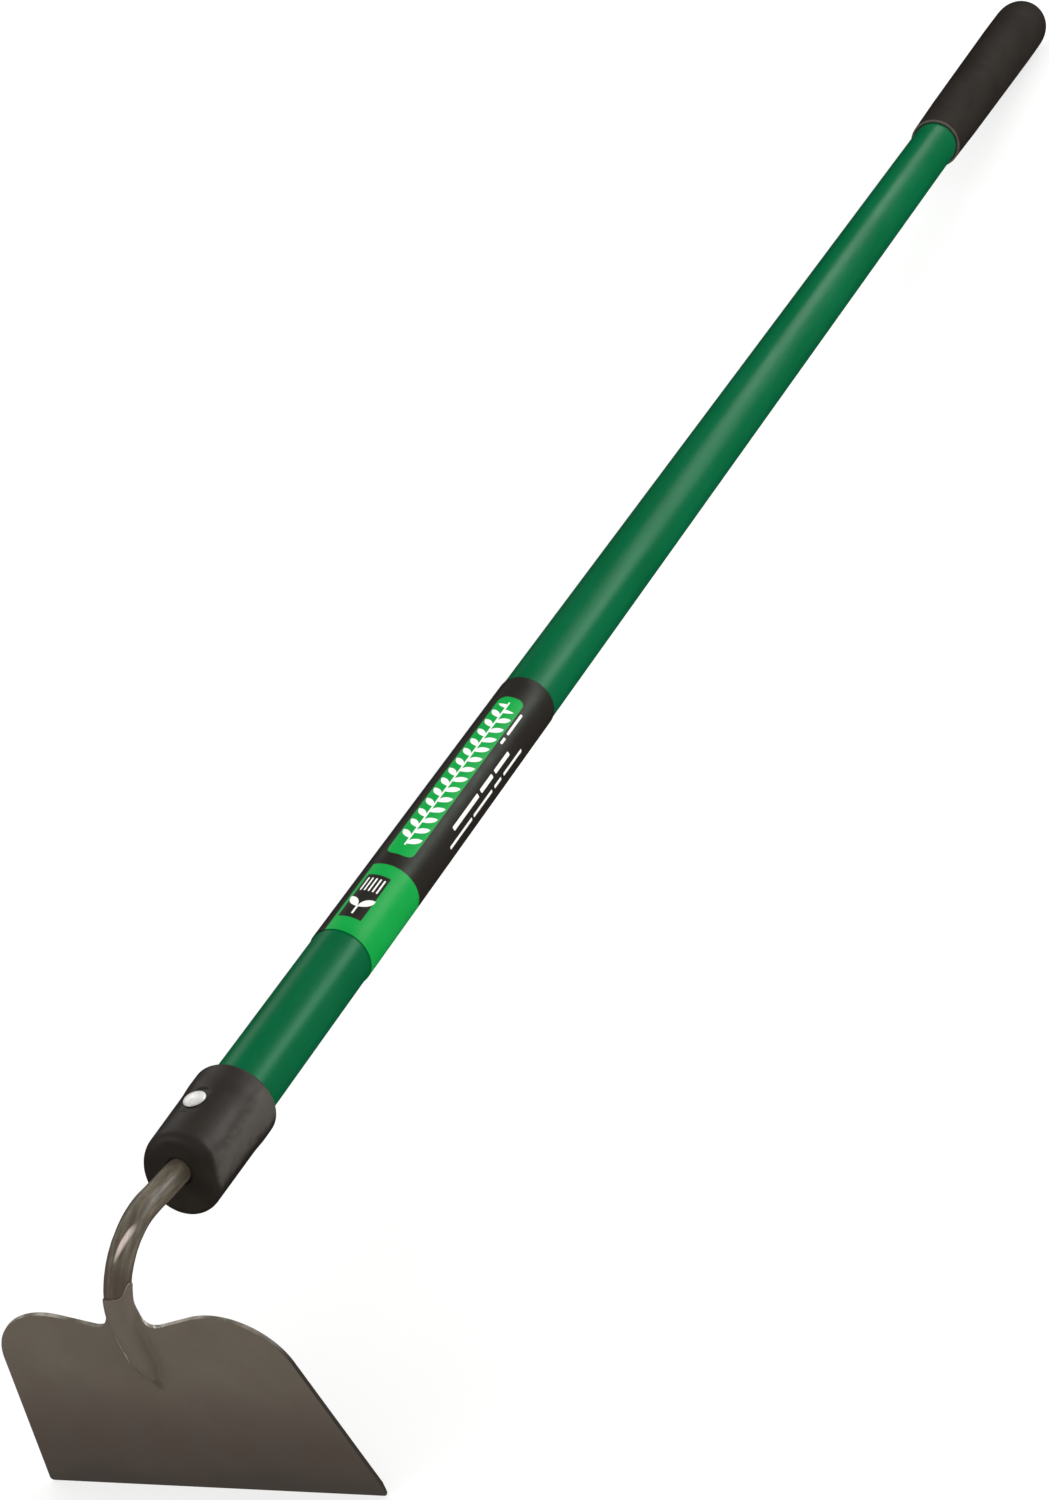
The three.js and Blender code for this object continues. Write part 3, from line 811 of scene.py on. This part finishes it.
def half_outline():
    """The flat sheet's outline, from the cutting edge's middle round to the tongue's top."""
    right = math.pi / 2
    lean_sin, lean_cos = math.sin(SIDE_LEAN), math.cos(SIDE_LEAN)
    corner = EDGE_HALF_WIDTH - CORNER_RADIUS * (1 + lean_sin) / lean_cos
    shoulder = (EDGE_HALF_WIDTH - SHOULDER_ACROSS) * lean_cos - SHOULDER_HEIGHT * lean_sin
    dip_across = SHOULDER_ACROSS - shoulder * math.sin(DIP_ANGLE)
    dip_height = SHOULDER_HEIGHT + shoulder * math.cos(DIP_ANGLE)
    notch = dip_height - (dip_across - NOTCH_ACROSS) * math.tan(DIP_ANGLE)
    notch += NOTCH_RADIUS / math.cos(DIP_ANGLE)
    plate = [
        (0, 0),
        *arc(corner, CORNER_RADIUS, CORNER_RADIUS, -right, SIDE_LEAN, 5),
        *arc(SHOULDER_ACROSS, SHOULDER_HEIGHT, shoulder, SIDE_LEAN, right + DIP_ANGLE, 40),
        *arc(NOTCH_ACROSS, notch, NOTCH_RADIUS, DIP_ANGLE - right, TONGUE_LEAN - 2 * right, 12),
    ]
    sheet = [(across + spare(height), height) for across, height in filled(plate, 4.0)[1:]]
    foot = sheet[-1][1]
    side = [foot + (TONGUE_TOP - foot) * k / 20 for k in range(1, 21)]
    tongue = [(sheet_width(height), height) for height in side]
    blend = sheet[-1][0] - sheet_width(foot)
    tongue = [(a + blend * (1 - smoothstep(foot, foot + 5, h)), h) for a, h in tongue]
    return [(0, 0), *sheet, *tongue], notch - NOTCH_RADIUS


def blade_point(along, height, in_tongue):
    """The front of the blade in the tool's frame, from a point of the flat sheet."""
    side, along = math.copysign(1, along), abs(along)
    fold = 0.0
    if in_tongue:
        turn = min(along / CHANNEL_RADIUS, math.pi / 2)
        height -= EAR_HEIGHT * (1 - ear(side * turn)) * smoothstep(EAR_FOOT, TONGUE_TOP, height)
        fold = smoothstep(FLAP_FOLD_START, FLAP_FOLD_END, height)
    if in_tongue or along <= half_bump(height)[0]:
        across, out = section(along, height, fold)
    else:
        across, out = along - spare(height), 0.0
    if not in_tongue or height <= NECK_END_HEIGHT:
        return EDGE_MIDDLE + ACROSS * (side * across) + FACE_UP * height + FACE_OUT * out
    point, _, normal = neck_frame(NECK_LENGTH - (height - NECK_END_HEIGHT))
    return point + ACROSS * (side * across) + normal * (out - CHANNEL_OUT)


def blade_thickness(along, height, in_tongue):
    """Thinned where it is drawn over the rod, and ground to the cutting edge on the back."""
    half = half_bump(height)[0]
    drawn = smoothstep(CHANNEL_TIP_HEIGHT + 2, NECK_END_HEIGHT - 4, height)
    beside_rod = smoothstep(FLAP_FOLD_START, FLAP_FOLD_END, height) if in_tongue else 0.0
    spread = max(beside_rod, 1 - smoothstep(half - 1.5, half + 1.5, abs(along)))
    pressed = BLADE_THICKNESS - (BLADE_THICKNESS - CHANNEL_WALL) * drawn * spread
    ground = EDGE_THICKNESS + (BLADE_THICKNESS - EDGE_THICKNESS) * height / BEVEL_HEIGHT
    return min(pressed, ground)


def blade_stations(outline_half):
    """Points of the flat sheet inside its outline: fine over the channel and coarse elsewhere."""
    points = []
    rows = math.ceil(TONGUE_TOP - CHANNEL_TIP_HEIGHT)
    for row in range(rows):
        height = CHANNEL_TIP_HEIGHT + 0.6 + row
        half = half_bump(height)[0]
        turn_length = half - CHANNEL_FILLET * bump_turn(bump_radius(height))
        columns = [turn_length * k / 7 for k in range(8)]
        columns += [turn_length + (half - turn_length) * k / 3 for k in (1, 2, 3)]
        beyond = (0.9, 1.9) if height > 84 else (0.9, 2.1, 4.0)
        columns += [half + step for step in beyond]
        columns = [c for i, c in enumerate(columns) if i == 0 or c - columns[i - 1] > 0.12]
        points += [(side * c, height) for c in columns for side in (1, -1) if c or side > 0]
    step = 4.5
    for i in range(-18, 19):
        points.append((i * 4.2, BEVEL_HEIGHT))
        for row in range(2, 22):
            across, height = (i + 0.5 * (row % 2)) * step, row * step
            near_channel = height > CHANNEL_TIP_HEIGHT - 2 and abs(across) < half_bump(height)[0] + 6
            if not near_channel:
                points.append((across, height))
    return [p for p in points if clearance(p, outline_half) > 0.45]


def clearance(point, outline_half):
    """How far a point lies inside the outline, or a negative number outside it."""
    x, y = abs(point[0]), point[1]
    least, inside = 1e9, False
    loop = [*outline_half, (0, TONGUE_TOP)]
    for (x0, y0), (x1, y1) in zip(loop, loop[1:]):
        share = ((x - x0) * (x1 - x0) + (y - y0) * (y1 - y0)) / ((x1 - x0) ** 2 + (y1 - y0) ** 2)
        share = min(1.0, max(0.0, share))
        least = min(least, math.hypot(x - x0 - share * (x1 - x0), y - y0 - share * (y1 - y0)))
        if (y0 > y) != (y1 > y) and x < x0 + (y - y0) / (y1 - y0) * (x1 - x0):
            inside = not inside
    return least if inside else -least


def sheet_points(flat, notch_floor):
    """The pressed sheet's front and back, for points of the flat sheet. Where the channel is
    tighter than the sheet is thick, the back follows the front straight, so it can't cross itself."""
    reach = 0.05
    front, back = [], []
    for along, height in flat:
        tongue = height > notch_floor and abs(along) < NOTCH_ACROSS + spare(height)
        left, right = (blade_point(along + d, height, tongue) for d in (-reach, reach))
        below, above = (blade_point(along, height + d, tongue) for d in (-reach, reach))
        normal = (right - left).cross(above - below).normalized()
        if not tongue:
            normal = normal if normal.dot(FACE_OUT) > 0 else -normal
            tight = 1 - smoothstep(BLADE_THICKNESS, 2 * BLADE_THICKNESS, bump_radius(height))
            normal = normal.lerp(FACE_OUT, tight).normalized()
        here = blade_point(along, height, tongue)
        front.append(here)
        back.append(here - normal * blade_thickness(along, height, tongue))
    return front, back


def build_blade(material, rim_material):
    outline_half, notch_floor = half_outline()
    top_row = [(x, TONGUE_TOP) for x in range(10, -11, -1)]
    mirrored = [(-x, y) for x, y in outline_half[:0:-1]]
    outline = [*outline_half, *top_row, *mirrored]
    stations = outline + blade_stations(outline_half)
    loop = list(range(len(outline)))
    flat, _, triangles, *_ = delaunay_2d_cdt([Vector(p) for p in stations], [], [loop], 1, 1e-4)

    front, back = sheet_points(flat, notch_floor)
    count = len(front)
    faces = [tuple(t) for t in triangles]
    faces += [tuple(i + count for i in reversed(t)) for t in triangles]
    edges = [pair for t in triangles for pair in zip(t, (*t[1:], t[0]))]
    known = set(edges)
    rim = range(len(faces), len(faces) + len(outline))
    faces += [(b, a, a + count, b + count) for a, b in edges if (b, a) not in known]
    second = (rim_material, rim)
    points = front + back
    piece = make_piece(
        "blade_plate", points, faces, "blade", material, second=second, sharp_angle=60
    )
    laid = [(abs(along) - half_bump(height)[0], height, along) for along, height in flat]
    lay_out(piece, points, laid * 2)
    soften(piece)
    return piece


def soften(piece):
    """Rounds the sharp edges, less on the thin cutting edge, and keeps the flats flat."""
    mesh = piece.data
    weights = mesh.attributes.new("bevel_weight_edge", "FLOAT", "EDGE")
    sharp = mesh.attributes.get("sharp_edge")
    for edge in mesh.edges:
        if sharp.data[edge.index].value:
            lowest = min(mesh.vertices[i].co.z for i in edge.vertices)
            weights.data[edge.index].value = THIN_EDGE_SHARE if lowest < THIN_EDGE_BELOW else 1.0
    mesh.attributes.remove(sharp)
    bevel = piece.modifiers.new("edges", "BEVEL")
    bevel.limit_method, bevel.width, bevel.segments = "WEIGHT", EDGE_SOFTNESS, 2
    bevel.use_clamp_overlap = False
    normals = piece.modifiers.new("normals", "WEIGHTED_NORMAL")
    normals.weight = 80


# ---------------------------------------------------------------- neck and welds


def neck_stations(shoulder):
    """Distances and radii along the rod, with its step down at the shoulder and chamfered ends."""
    step = 1.1
    stations = [(0.0, NECK_RADIUS - 0.6), (0.6, NECK_RADIUS)]
    distance = 0.6 + step
    while distance < shoulder - 0.5:
        stations.append((distance, NECK_RADIUS))
        distance += step
    stations += [(shoulder - 0.15, NECK_RADIUS), (shoulder, NECK_RADIUS - 0.12)]
    stations.append((shoulder + 0.05, NECK_END_RADIUS))
    distance = shoulder + step
    while distance < NECK_LENGTH - 0.7:
        stations.append((distance, NECK_END_RADIUS))
        distance += step
    return [*stations, (NECK_LENGTH - 0.5, NECK_END_RADIUS), (NECK_LENGTH, NECK_END_RADIUS - 0.5)]


def build_neck(material):
    sides = 56
    shoulder = NECK_LENGTH - CHANNEL_RUN
    nose = neck_length_to(NOSE_END)
    rings, laid = [], []
    for distance, radius in neck_stations(shoulder):
        marks = FORGE_MARKS * smoothstep(nose + 2, nose + 12, distance)
        marks *= 1 - smoothstep(shoulder - 4, shoulder, distance)
        lean = EAR_HEIGHT * smoothstep(shoulder - 14, shoulder - 0.5, distance)
        lean *= 1 - smoothstep(shoulder + 1, NECK_LENGTH - 3, distance)
        rings.append(rod_ring(distance, radius, sides, marks, lean))
        for k in range(sides):
            a = 2 * math.pi * k / sides
            laid.append((distance + lean * (1 - ear(a)), radius * math.sin(a), radius * math.cos(a)))
    ends = (tuple(neck_frame(0)[0]), tuple(neck_frame(NECK_LENGTH)[0]))
    laid += [(0, 0, 0), (NECK_LENGTH, 0, 0)]
    points, faces = ring_surface(rings, ends)
    piece = make_piece("neck_rod", points, faces, "neck", material)
    drill(piece, [rivet_hole()])
    lay_out(piece, points, laid)
    return piece


def neck_length_to(x):
    """Distance along the rod from the tang's end to where it reaches a place on the handle's axis."""
    distance = 0.0
    while neck_frame(distance)[0].x > x:
        distance += 0.25
    return distance


def build_bead(name, node, side, material):
    """A weld bead with the ripples of its puddles, in the corner of the rod and the plate's back.
    It runs on inside them both."""
    sides, stations = 28, 60
    start = EDGE_MIDDLE + FACE_OUT * (-BLADE_THICKNESS - GAP) + ACROSS * (side * NECK_RADIUS)
    rings = []
    for i in range(stations + 1):
        t = i / stations
        taper = min(1.0, math.sin(math.pi * t) * 3.2 + 0.12)
        ripple = BEAD_RIPPLE * math.cos(2 * math.pi * t * BEAD_RIPPLES + 0.8 * side)
        centre = start + FACE_UP * (BEAD_BOTTOM + (BEAD_TOP - BEAD_BOTTOM) * t)
        ring = []
        for k in range(sides):
            a = 2 * math.pi * k / sides
            spoke = ACROSS * math.cos(a) + FACE_OUT * math.sin(a)
            lump = BEAD_LUMP * noise.noise(centre * 0.5 + spoke * 1.4)
            ring.append(tuple(centre + spoke * ((BEAD_RADIUS + ripple + lump) * taper)))
        rings.append(ring)
    poles = [tuple(start + FACE_UP * h) for h in (BEAD_BOTTOM - 0.1, BEAD_TOP + 0.1)]
    points, faces = ring_surface(rings, poles)
    outward = [face[::-1] for face in faces]
    return make_piece(name, points, outward, node, material, sharp_angle=80)


# ---------------------------------------------------------------- ferrule and rivet


def build_ferrule(material):
    """A moulding with a leaning end face, a hole along the rod and a flat under each rivet end."""
    sides = 160
    socket, floor = TUBE_RADIUS + SLIP, TUBE_START - GAP
    swell = [COLLAR_FOOT + (COLLAR_CREST - COLLAR_FOOT) * k / 10 for k in range(11)]
    rise = COLLAR_RADIUS - BODY_END_RADIUS
    outside = rounded(
        [
            (NOSE_END, 9.0, 0),
            (NOSE_END, NOSE_RADIUS, NOSE_ROUNDING),
            *((x, BODY_END_RADIUS + rise * smoothstep(COLLAR_FOOT, COLLAR_CREST, x), 0) for x in swell),
            (COLLAR_END, COLLAR_RADIUS, COLLAR_ROUNDING),
            (COLLAR_END, socket, 0.3),
            (floor, socket, 0.6),
            (floor, 7.5, 0),
        ],
        8,
    )
    rings = [leaned_ring(x, r, sides) for x, r in filled(outside, 0.9)]
    hole = NECK_RADIUS + GAP
    inner = neck_length_to(floor)
    face = neck_length_to(NOSE_END)
    wall = [rod_ring(inner + (face - 1.2 - inner) * k / 5, hole, sides) for k in range(6)]
    edge = ((0.0, 0.8), (0.12, 0.35), (0.4, 0.06), (0.8, 0.0))
    lip = [face_ring(hole + grow, depth, sides) for grow, depth in edge]
    fill = [
        [Vector(p).lerp(Vector(q), k / 3) for p, q in zip(lip[-1], rings[0])]
        for k in (1, 2)
    ]
    points, faces = ring_surface([*rings, *wall, *lip, *fill], loop=True)
    piece = make_piece("ferrule_moulding", points, faces, "ferrule", material)
    drill(piece, [rivet_hole()])
    return piece


def leaned_ring(x, radius, sides):
    """A ring of the ferrule, leaning with its end face and flattened under the rivet's ends."""
    lean_start = NOSE_END + NOSE_ROUNDING
    outer = radius > TUBE_RADIUS + 1.5 or x < TUBE_START - 1
    lean = min(1.0, max(0.0, (LEAN_END - x) / (LEAN_END - lean_start))) if outer else 0.0
    ring = []
    for px, py, pz in turned_ring(x, radius, sides):
        px += NOSE_RAKE * pz * lean
        off = math.hypot(px - RIVET_X, py)
        if outer and abs(pz) > SEAT_DEPTH:
            flat = 1 - smoothstep(SEAT_RADIUS - 0.5, SEAT_RADIUS + 0.5, off)
            pz += (math.copysign(SEAT_DEPTH, pz) - pz) * flat
        ring.append((px, py, pz))
    return ring


def face_ring(radius, depth, sides):
    """A ring round the rod where it passes through the ferrule's leaning end face."""
    point, direction, out = neck_frame(neck_length_to(NOSE_END))
    ring = []
    for k in range(sides):
        a = 2 * math.pi * k / sides
        p = point + (out * math.cos(a) + ACROSS * math.sin(a)) * radius
        target = NOSE_END + depth
        t = (target + NOSE_RAKE * p.z - p.x) / (direction.x - NOSE_RAKE * direction.z)
        ring.append(tuple(p + direction * t))
    return ring


def upright(profile, sides):
    """A half-section of (z, radius) turned about the rivet's axis."""
    points, faces = turned(profile, sides)
    return [(RIVET_X + z, y, x) for x, y, z in points], [tuple(reversed(f)) for f in faces]


def build_rivet(material):
    base, tail = SEAT_DEPTH + GAP, -SEAT_DEPTH - 2 * GAP - WASHER_THICKNESS
    dome = [
        (base + 0.4 + (HEAD_HEIGHT - 0.4) * math.sin(a), HEAD_RADIUS * math.cos(a))
        for a in (math.pi / 2 * k / 16 for k in range(1, 16))
    ]
    profile = [
        (tail - TAIL_HEIGHT, 0),
        *filled(
            rounded(
                [
                    (tail - TAIL_HEIGHT, 0.4, 0),
                    (tail - TAIL_HEIGHT, TAIL_RADIUS * 0.8, 0.8),
                    (tail - TAIL_HEIGHT * 0.4, TAIL_RADIUS, 0.4),
                    (tail, TAIL_RADIUS, 0.15),
                    (tail, SHANK_RADIUS, 0.1),
                    (base, SHANK_RADIUS, 0.1),
                    (base, HEAD_RADIUS, 0.15),
                    (base + 0.4, HEAD_RADIUS, 0),
                ]
            ),
            1.2,
        ),
        *dome,
        (base + HEAD_HEIGHT, 0),
    ]
    points, faces = upright(profile, 64)
    dented = []
    for p in points:
        top = smoothstep(base + 0.6, base + 1.4, p[2])
        dent = noise.noise(Vector(p) * 0.45) + 0.5 * noise.noise(Vector(p) * 1.1)
        dented.append((p[0], p[1], p[2] - 0.06 * top * (1 + dent)))
    return make_piece("rivet_body", dented, faces, "rivet", material)


def build_washer(material):
    top, hole = -SEAT_DEPTH - GAP, SHANK_RADIUS + GAP
    middle_radius = (hole + WASHER_RADIUS) / 2
    corners = [
        (top, middle_radius, 0),
        (top, hole, 0.15),
        (top - WASHER_THICKNESS, hole, 0.15),
        (top - WASHER_THICKNESS, WASHER_RADIUS, 0.3),
        (top, WASHER_RADIUS, 0.15),
        (top, middle_radius + 0.05, 0),
    ]
    points, faces = upright(rounded(corners, 4), 64)
    return make_piece("rivet_tail_washer", points, faces, "rivet_washer", material)


# ---------------------------------------------------------------- handle


def build_tube(material):
    corners = [
        (TUBE_START + 30, TUBE_BORE, 0),
        (TUBE_START, TUBE_BORE, 0.3),
        (TUBE_START, TUBE_RADIUS, 0.3),
        (TUBE_END, TUBE_RADIUS, 0.3),
        (TUBE_END, TUBE_BORE, 0.3),
        (TUBE_START + 31, TUBE_BORE, 0),
    ]
    points, faces = turned(filled(rounded(corners, 3), 12))
    piece = make_piece("fibreglass_tube", points, faces, "handle_tube", material)
    drill(piece, [rivet_hole()])
    return piece


def build_label(material):
    edge = 0.1
    corners = [
        (LABEL_START + 10, LABEL_INNER, 0),
        (LABEL_START, LABEL_INNER, edge / 2),
        (LABEL_START, LABEL_OUTER, edge),
        (LABEL_END, LABEL_OUTER, edge),
        (LABEL_END, LABEL_INNER, edge / 2),
        (LABEL_START + 11, LABEL_INNER, 0),
    ]
    points, faces = turned(filled(rounded(corners, 3), 6))
    uv = unrolled(points, faces, LABEL_OUTER)
    return make_piece("label_sleeve", points, faces, "handle_label", material, uv=uv)


def build_grip(material, lip_material):
    """The rubber sleeve, from its blind bore to the middle of its domed end."""
    bore = TUBE_RADIUS + SLIP
    lip = rounded(
        [
            (TUBE_END + GAP, 4.0, 0),
            (TUBE_END + GAP, bore, 0.5),
            (GRIP_START, bore, 0.2),
            (GRIP_START, GRIP_RIM_RADIUS, GRIP_LIP_RADIUS),
            (*GRIP_WAIST, 60),
            (*GRIP_BELLY, 60),
            (GRIP_END - GRIP_DOME_LENGTH, GRIP_BELLY[1], 0),
        ],
        8,
    )
    dome = []
    for k in range(1, 24):
        lift = math.pi / 2 * k / 24
        along = math.sin(lift) ** (2 / GRIP_DOME_POWER)
        radius = GRIP_BELLY[1] * math.cos(lift) ** (2 / GRIP_DOME_POWER)
        dome.append((GRIP_END - GRIP_DOME_LENGTH * (1 - along), radius))
    profile = [(TUBE_END + GAP, 0), *filled(lip, 3.0), *filled([lip[-1], *dome], 1.5)[1:], (GRIP_END, 0)]
    points, faces = turned(profile)
    lip_faces = [
        i
        for i, face in enumerate(faces)
        if all(points[p][0] < GRIP_START + GRIP_LIP_RADIUS * 0.9 for p in face)
        and all(math.hypot(*points[p][1:]) > bore + 0.3 for p in face)
    ]
    second = (lip_material, lip_faces)
    return make_piece("grip_sleeve", points, faces, "grip", material, second=second)


# ---------------------------------------------------------------- studio

CAMERA_PLACE = (-1.42143, -0.72374, 0.81760)
CAMERA_HEADING, CAMERA_DIP, CAMERA_ROLL = 32.2474, 28.9550, -21.2295  # degrees
CAMERA_LENS = 77.913  # on a sensor 36 mm along the picture's long side


def build_camera():
    data = bpy.data.cameras.new("camera")
    data.lens, data.sensor_width, data.sensor_fit = CAMERA_LENS, 36.0, "AUTO"
    data.clip_start, data.clip_end = 0.05, 50.0
    camera = bpy.data.objects.new("camera", data)
    camera.matrix_world = (
        Matrix.Translation(CAMERA_PLACE)
        @ Matrix.Rotation(math.radians(CAMERA_HEADING - 90), 4, "Z")
        @ Matrix.Rotation(math.radians(90 - CAMERA_DIP), 4, "X")
        @ Matrix.Rotation(math.radians(CAMERA_ROLL), 4, "Z")
    )
    bpy.context.scene.collection.objects.link(camera)
    bpy.context.scene.camera = camera


def build_floor():
    half = 12.0
    mesh = bpy.data.meshes.new("floor")
    corners = [(-half, -half), (half, -half), (half, half), (-half, half)]
    mesh.from_pydata([(x, y, -0.0002) for x, y in corners], [], [(0, 1, 2, 3)])
    g = Graph("pale_floor")
    color = g.mix(g.noise(3), rgb(158, 158, 157), rgb(162, 162, 161))
    glow = {"Emission_Color": (1, 1, 1, 1), "Emission_Strength": 0.68}
    mesh.materials.append(g.finish(color, 0.9, Specular_IOR_Level=0.0, **glow))
    floor = bpy.data.objects.new("floor", mesh)
    bpy.context.scene.collection.objects.link(floor)
    floor.visible_glossy = False


def softbox(name, place, aim, width, height, radiance, glossy=True):
    """A rectangular light facing a point, with its brightness as seen from the front."""
    data = bpy.data.lights.new(name, "AREA")
    data.shape, data.size, data.size_y = "RECTANGLE", width, height
    data.energy = radiance * math.pi * width * height
    light = bpy.data.objects.new(name, data)
    light.location = place
    light.rotation_mode = "QUATERNION"
    light.rotation_quaternion = (Vector(aim) - Vector(place)).to_track_quat("-Z", "Y")
    light.visible_glossy = glossy
    bpy.context.scene.collection.objects.link(light)


def build_studio():
    world = bpy.data.worlds.new("studio")
    world.use_nodes = True
    background = world.node_tree.nodes["Background"]
    background.inputs["Color"].default_value = (1, 1, 1, 1)
    background.inputs["Strength"].default_value = 0.72
    bpy.context.scene.world = world
    world.cycles_visibility.glossy = False
    bpy.context.scene.view_settings.view_transform = "Standard"
    softbox("side_near_head", (0.85, -1.33, 0.6), (-0.35, 0.0, 0.1), 1.2, 0.6, 4.9)
    softbox("side_near_grip", (1.55, -0.56, 0.77), (0.2, 0.4, 0.05), 1.34, 0.5, 2.4)
    softbox("overhead", (0.3, 0.9, 2.4), (-0.2, 0.0, 0.0), 2.6, 2.6, 0.62, glossy=False)
    softbox("behind", (0.35, 1.0, 0.95), (-0.68, 0.0, 0.09), 0.9, 0.9, 1.0)
    softbox("left", (-1.75, 1.15, 1.3), (-0.62, 0.0, 0.1), 0.7, 0.7, 2.2)
    softbox("front", (-2.4, -1.6, 1.6), (-0.6, 0.0, 0.1), 1.4, 1.4, 0.7, glossy=False)


# ---------------------------------------------------------------- assembly


def build_tool():
    weld_paint = weld_enamel()
    ferrule_black = moulding(
        "ferrule_black",
        light=rgb(49, 44, 39),
        dark=rgb(40, 36, 32),
        roughness=0.48,
        grain_scale=700,
        grain_depth=0.02,
        specular=0.48,
        # painted reflection of the ground along one side of the ferrule
        ground_reflection=(-14.7, -17.0),
    )
    grip_black = moulding(
        "grip_black",
        light=rgb(43, 38, 34),
        dark=rgb(38, 34, 30),
        roughness=0.66,
        grain_scale=1100,
        grain_depth=0.05,
        specular=0.1,
    )
    steel = plated_steel()
    plug = nylon()
    build_blade(blade_enamel(), rim_enamel())
    build_neck(neck_enamel())
    build_bead("weld_left", "weld_bead_left", 1, weld_paint)
    build_bead("weld_right", "weld_bead_right", -1, weld_paint)
    build_ferrule(ferrule_black)
    build_rivet(steel)
    build_washer(steel)
    build_tube(green_fibreglass())
    build_label(label_film())
    build_grip(grip_black, rubber_lip())
    for node in ("tang_plug", "end_plug"):
        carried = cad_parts[node]
        carried.data.materials.clear()
        carried.data.materials.append(plug)


build_tool()
build_floor()
build_studio()
build_camera()
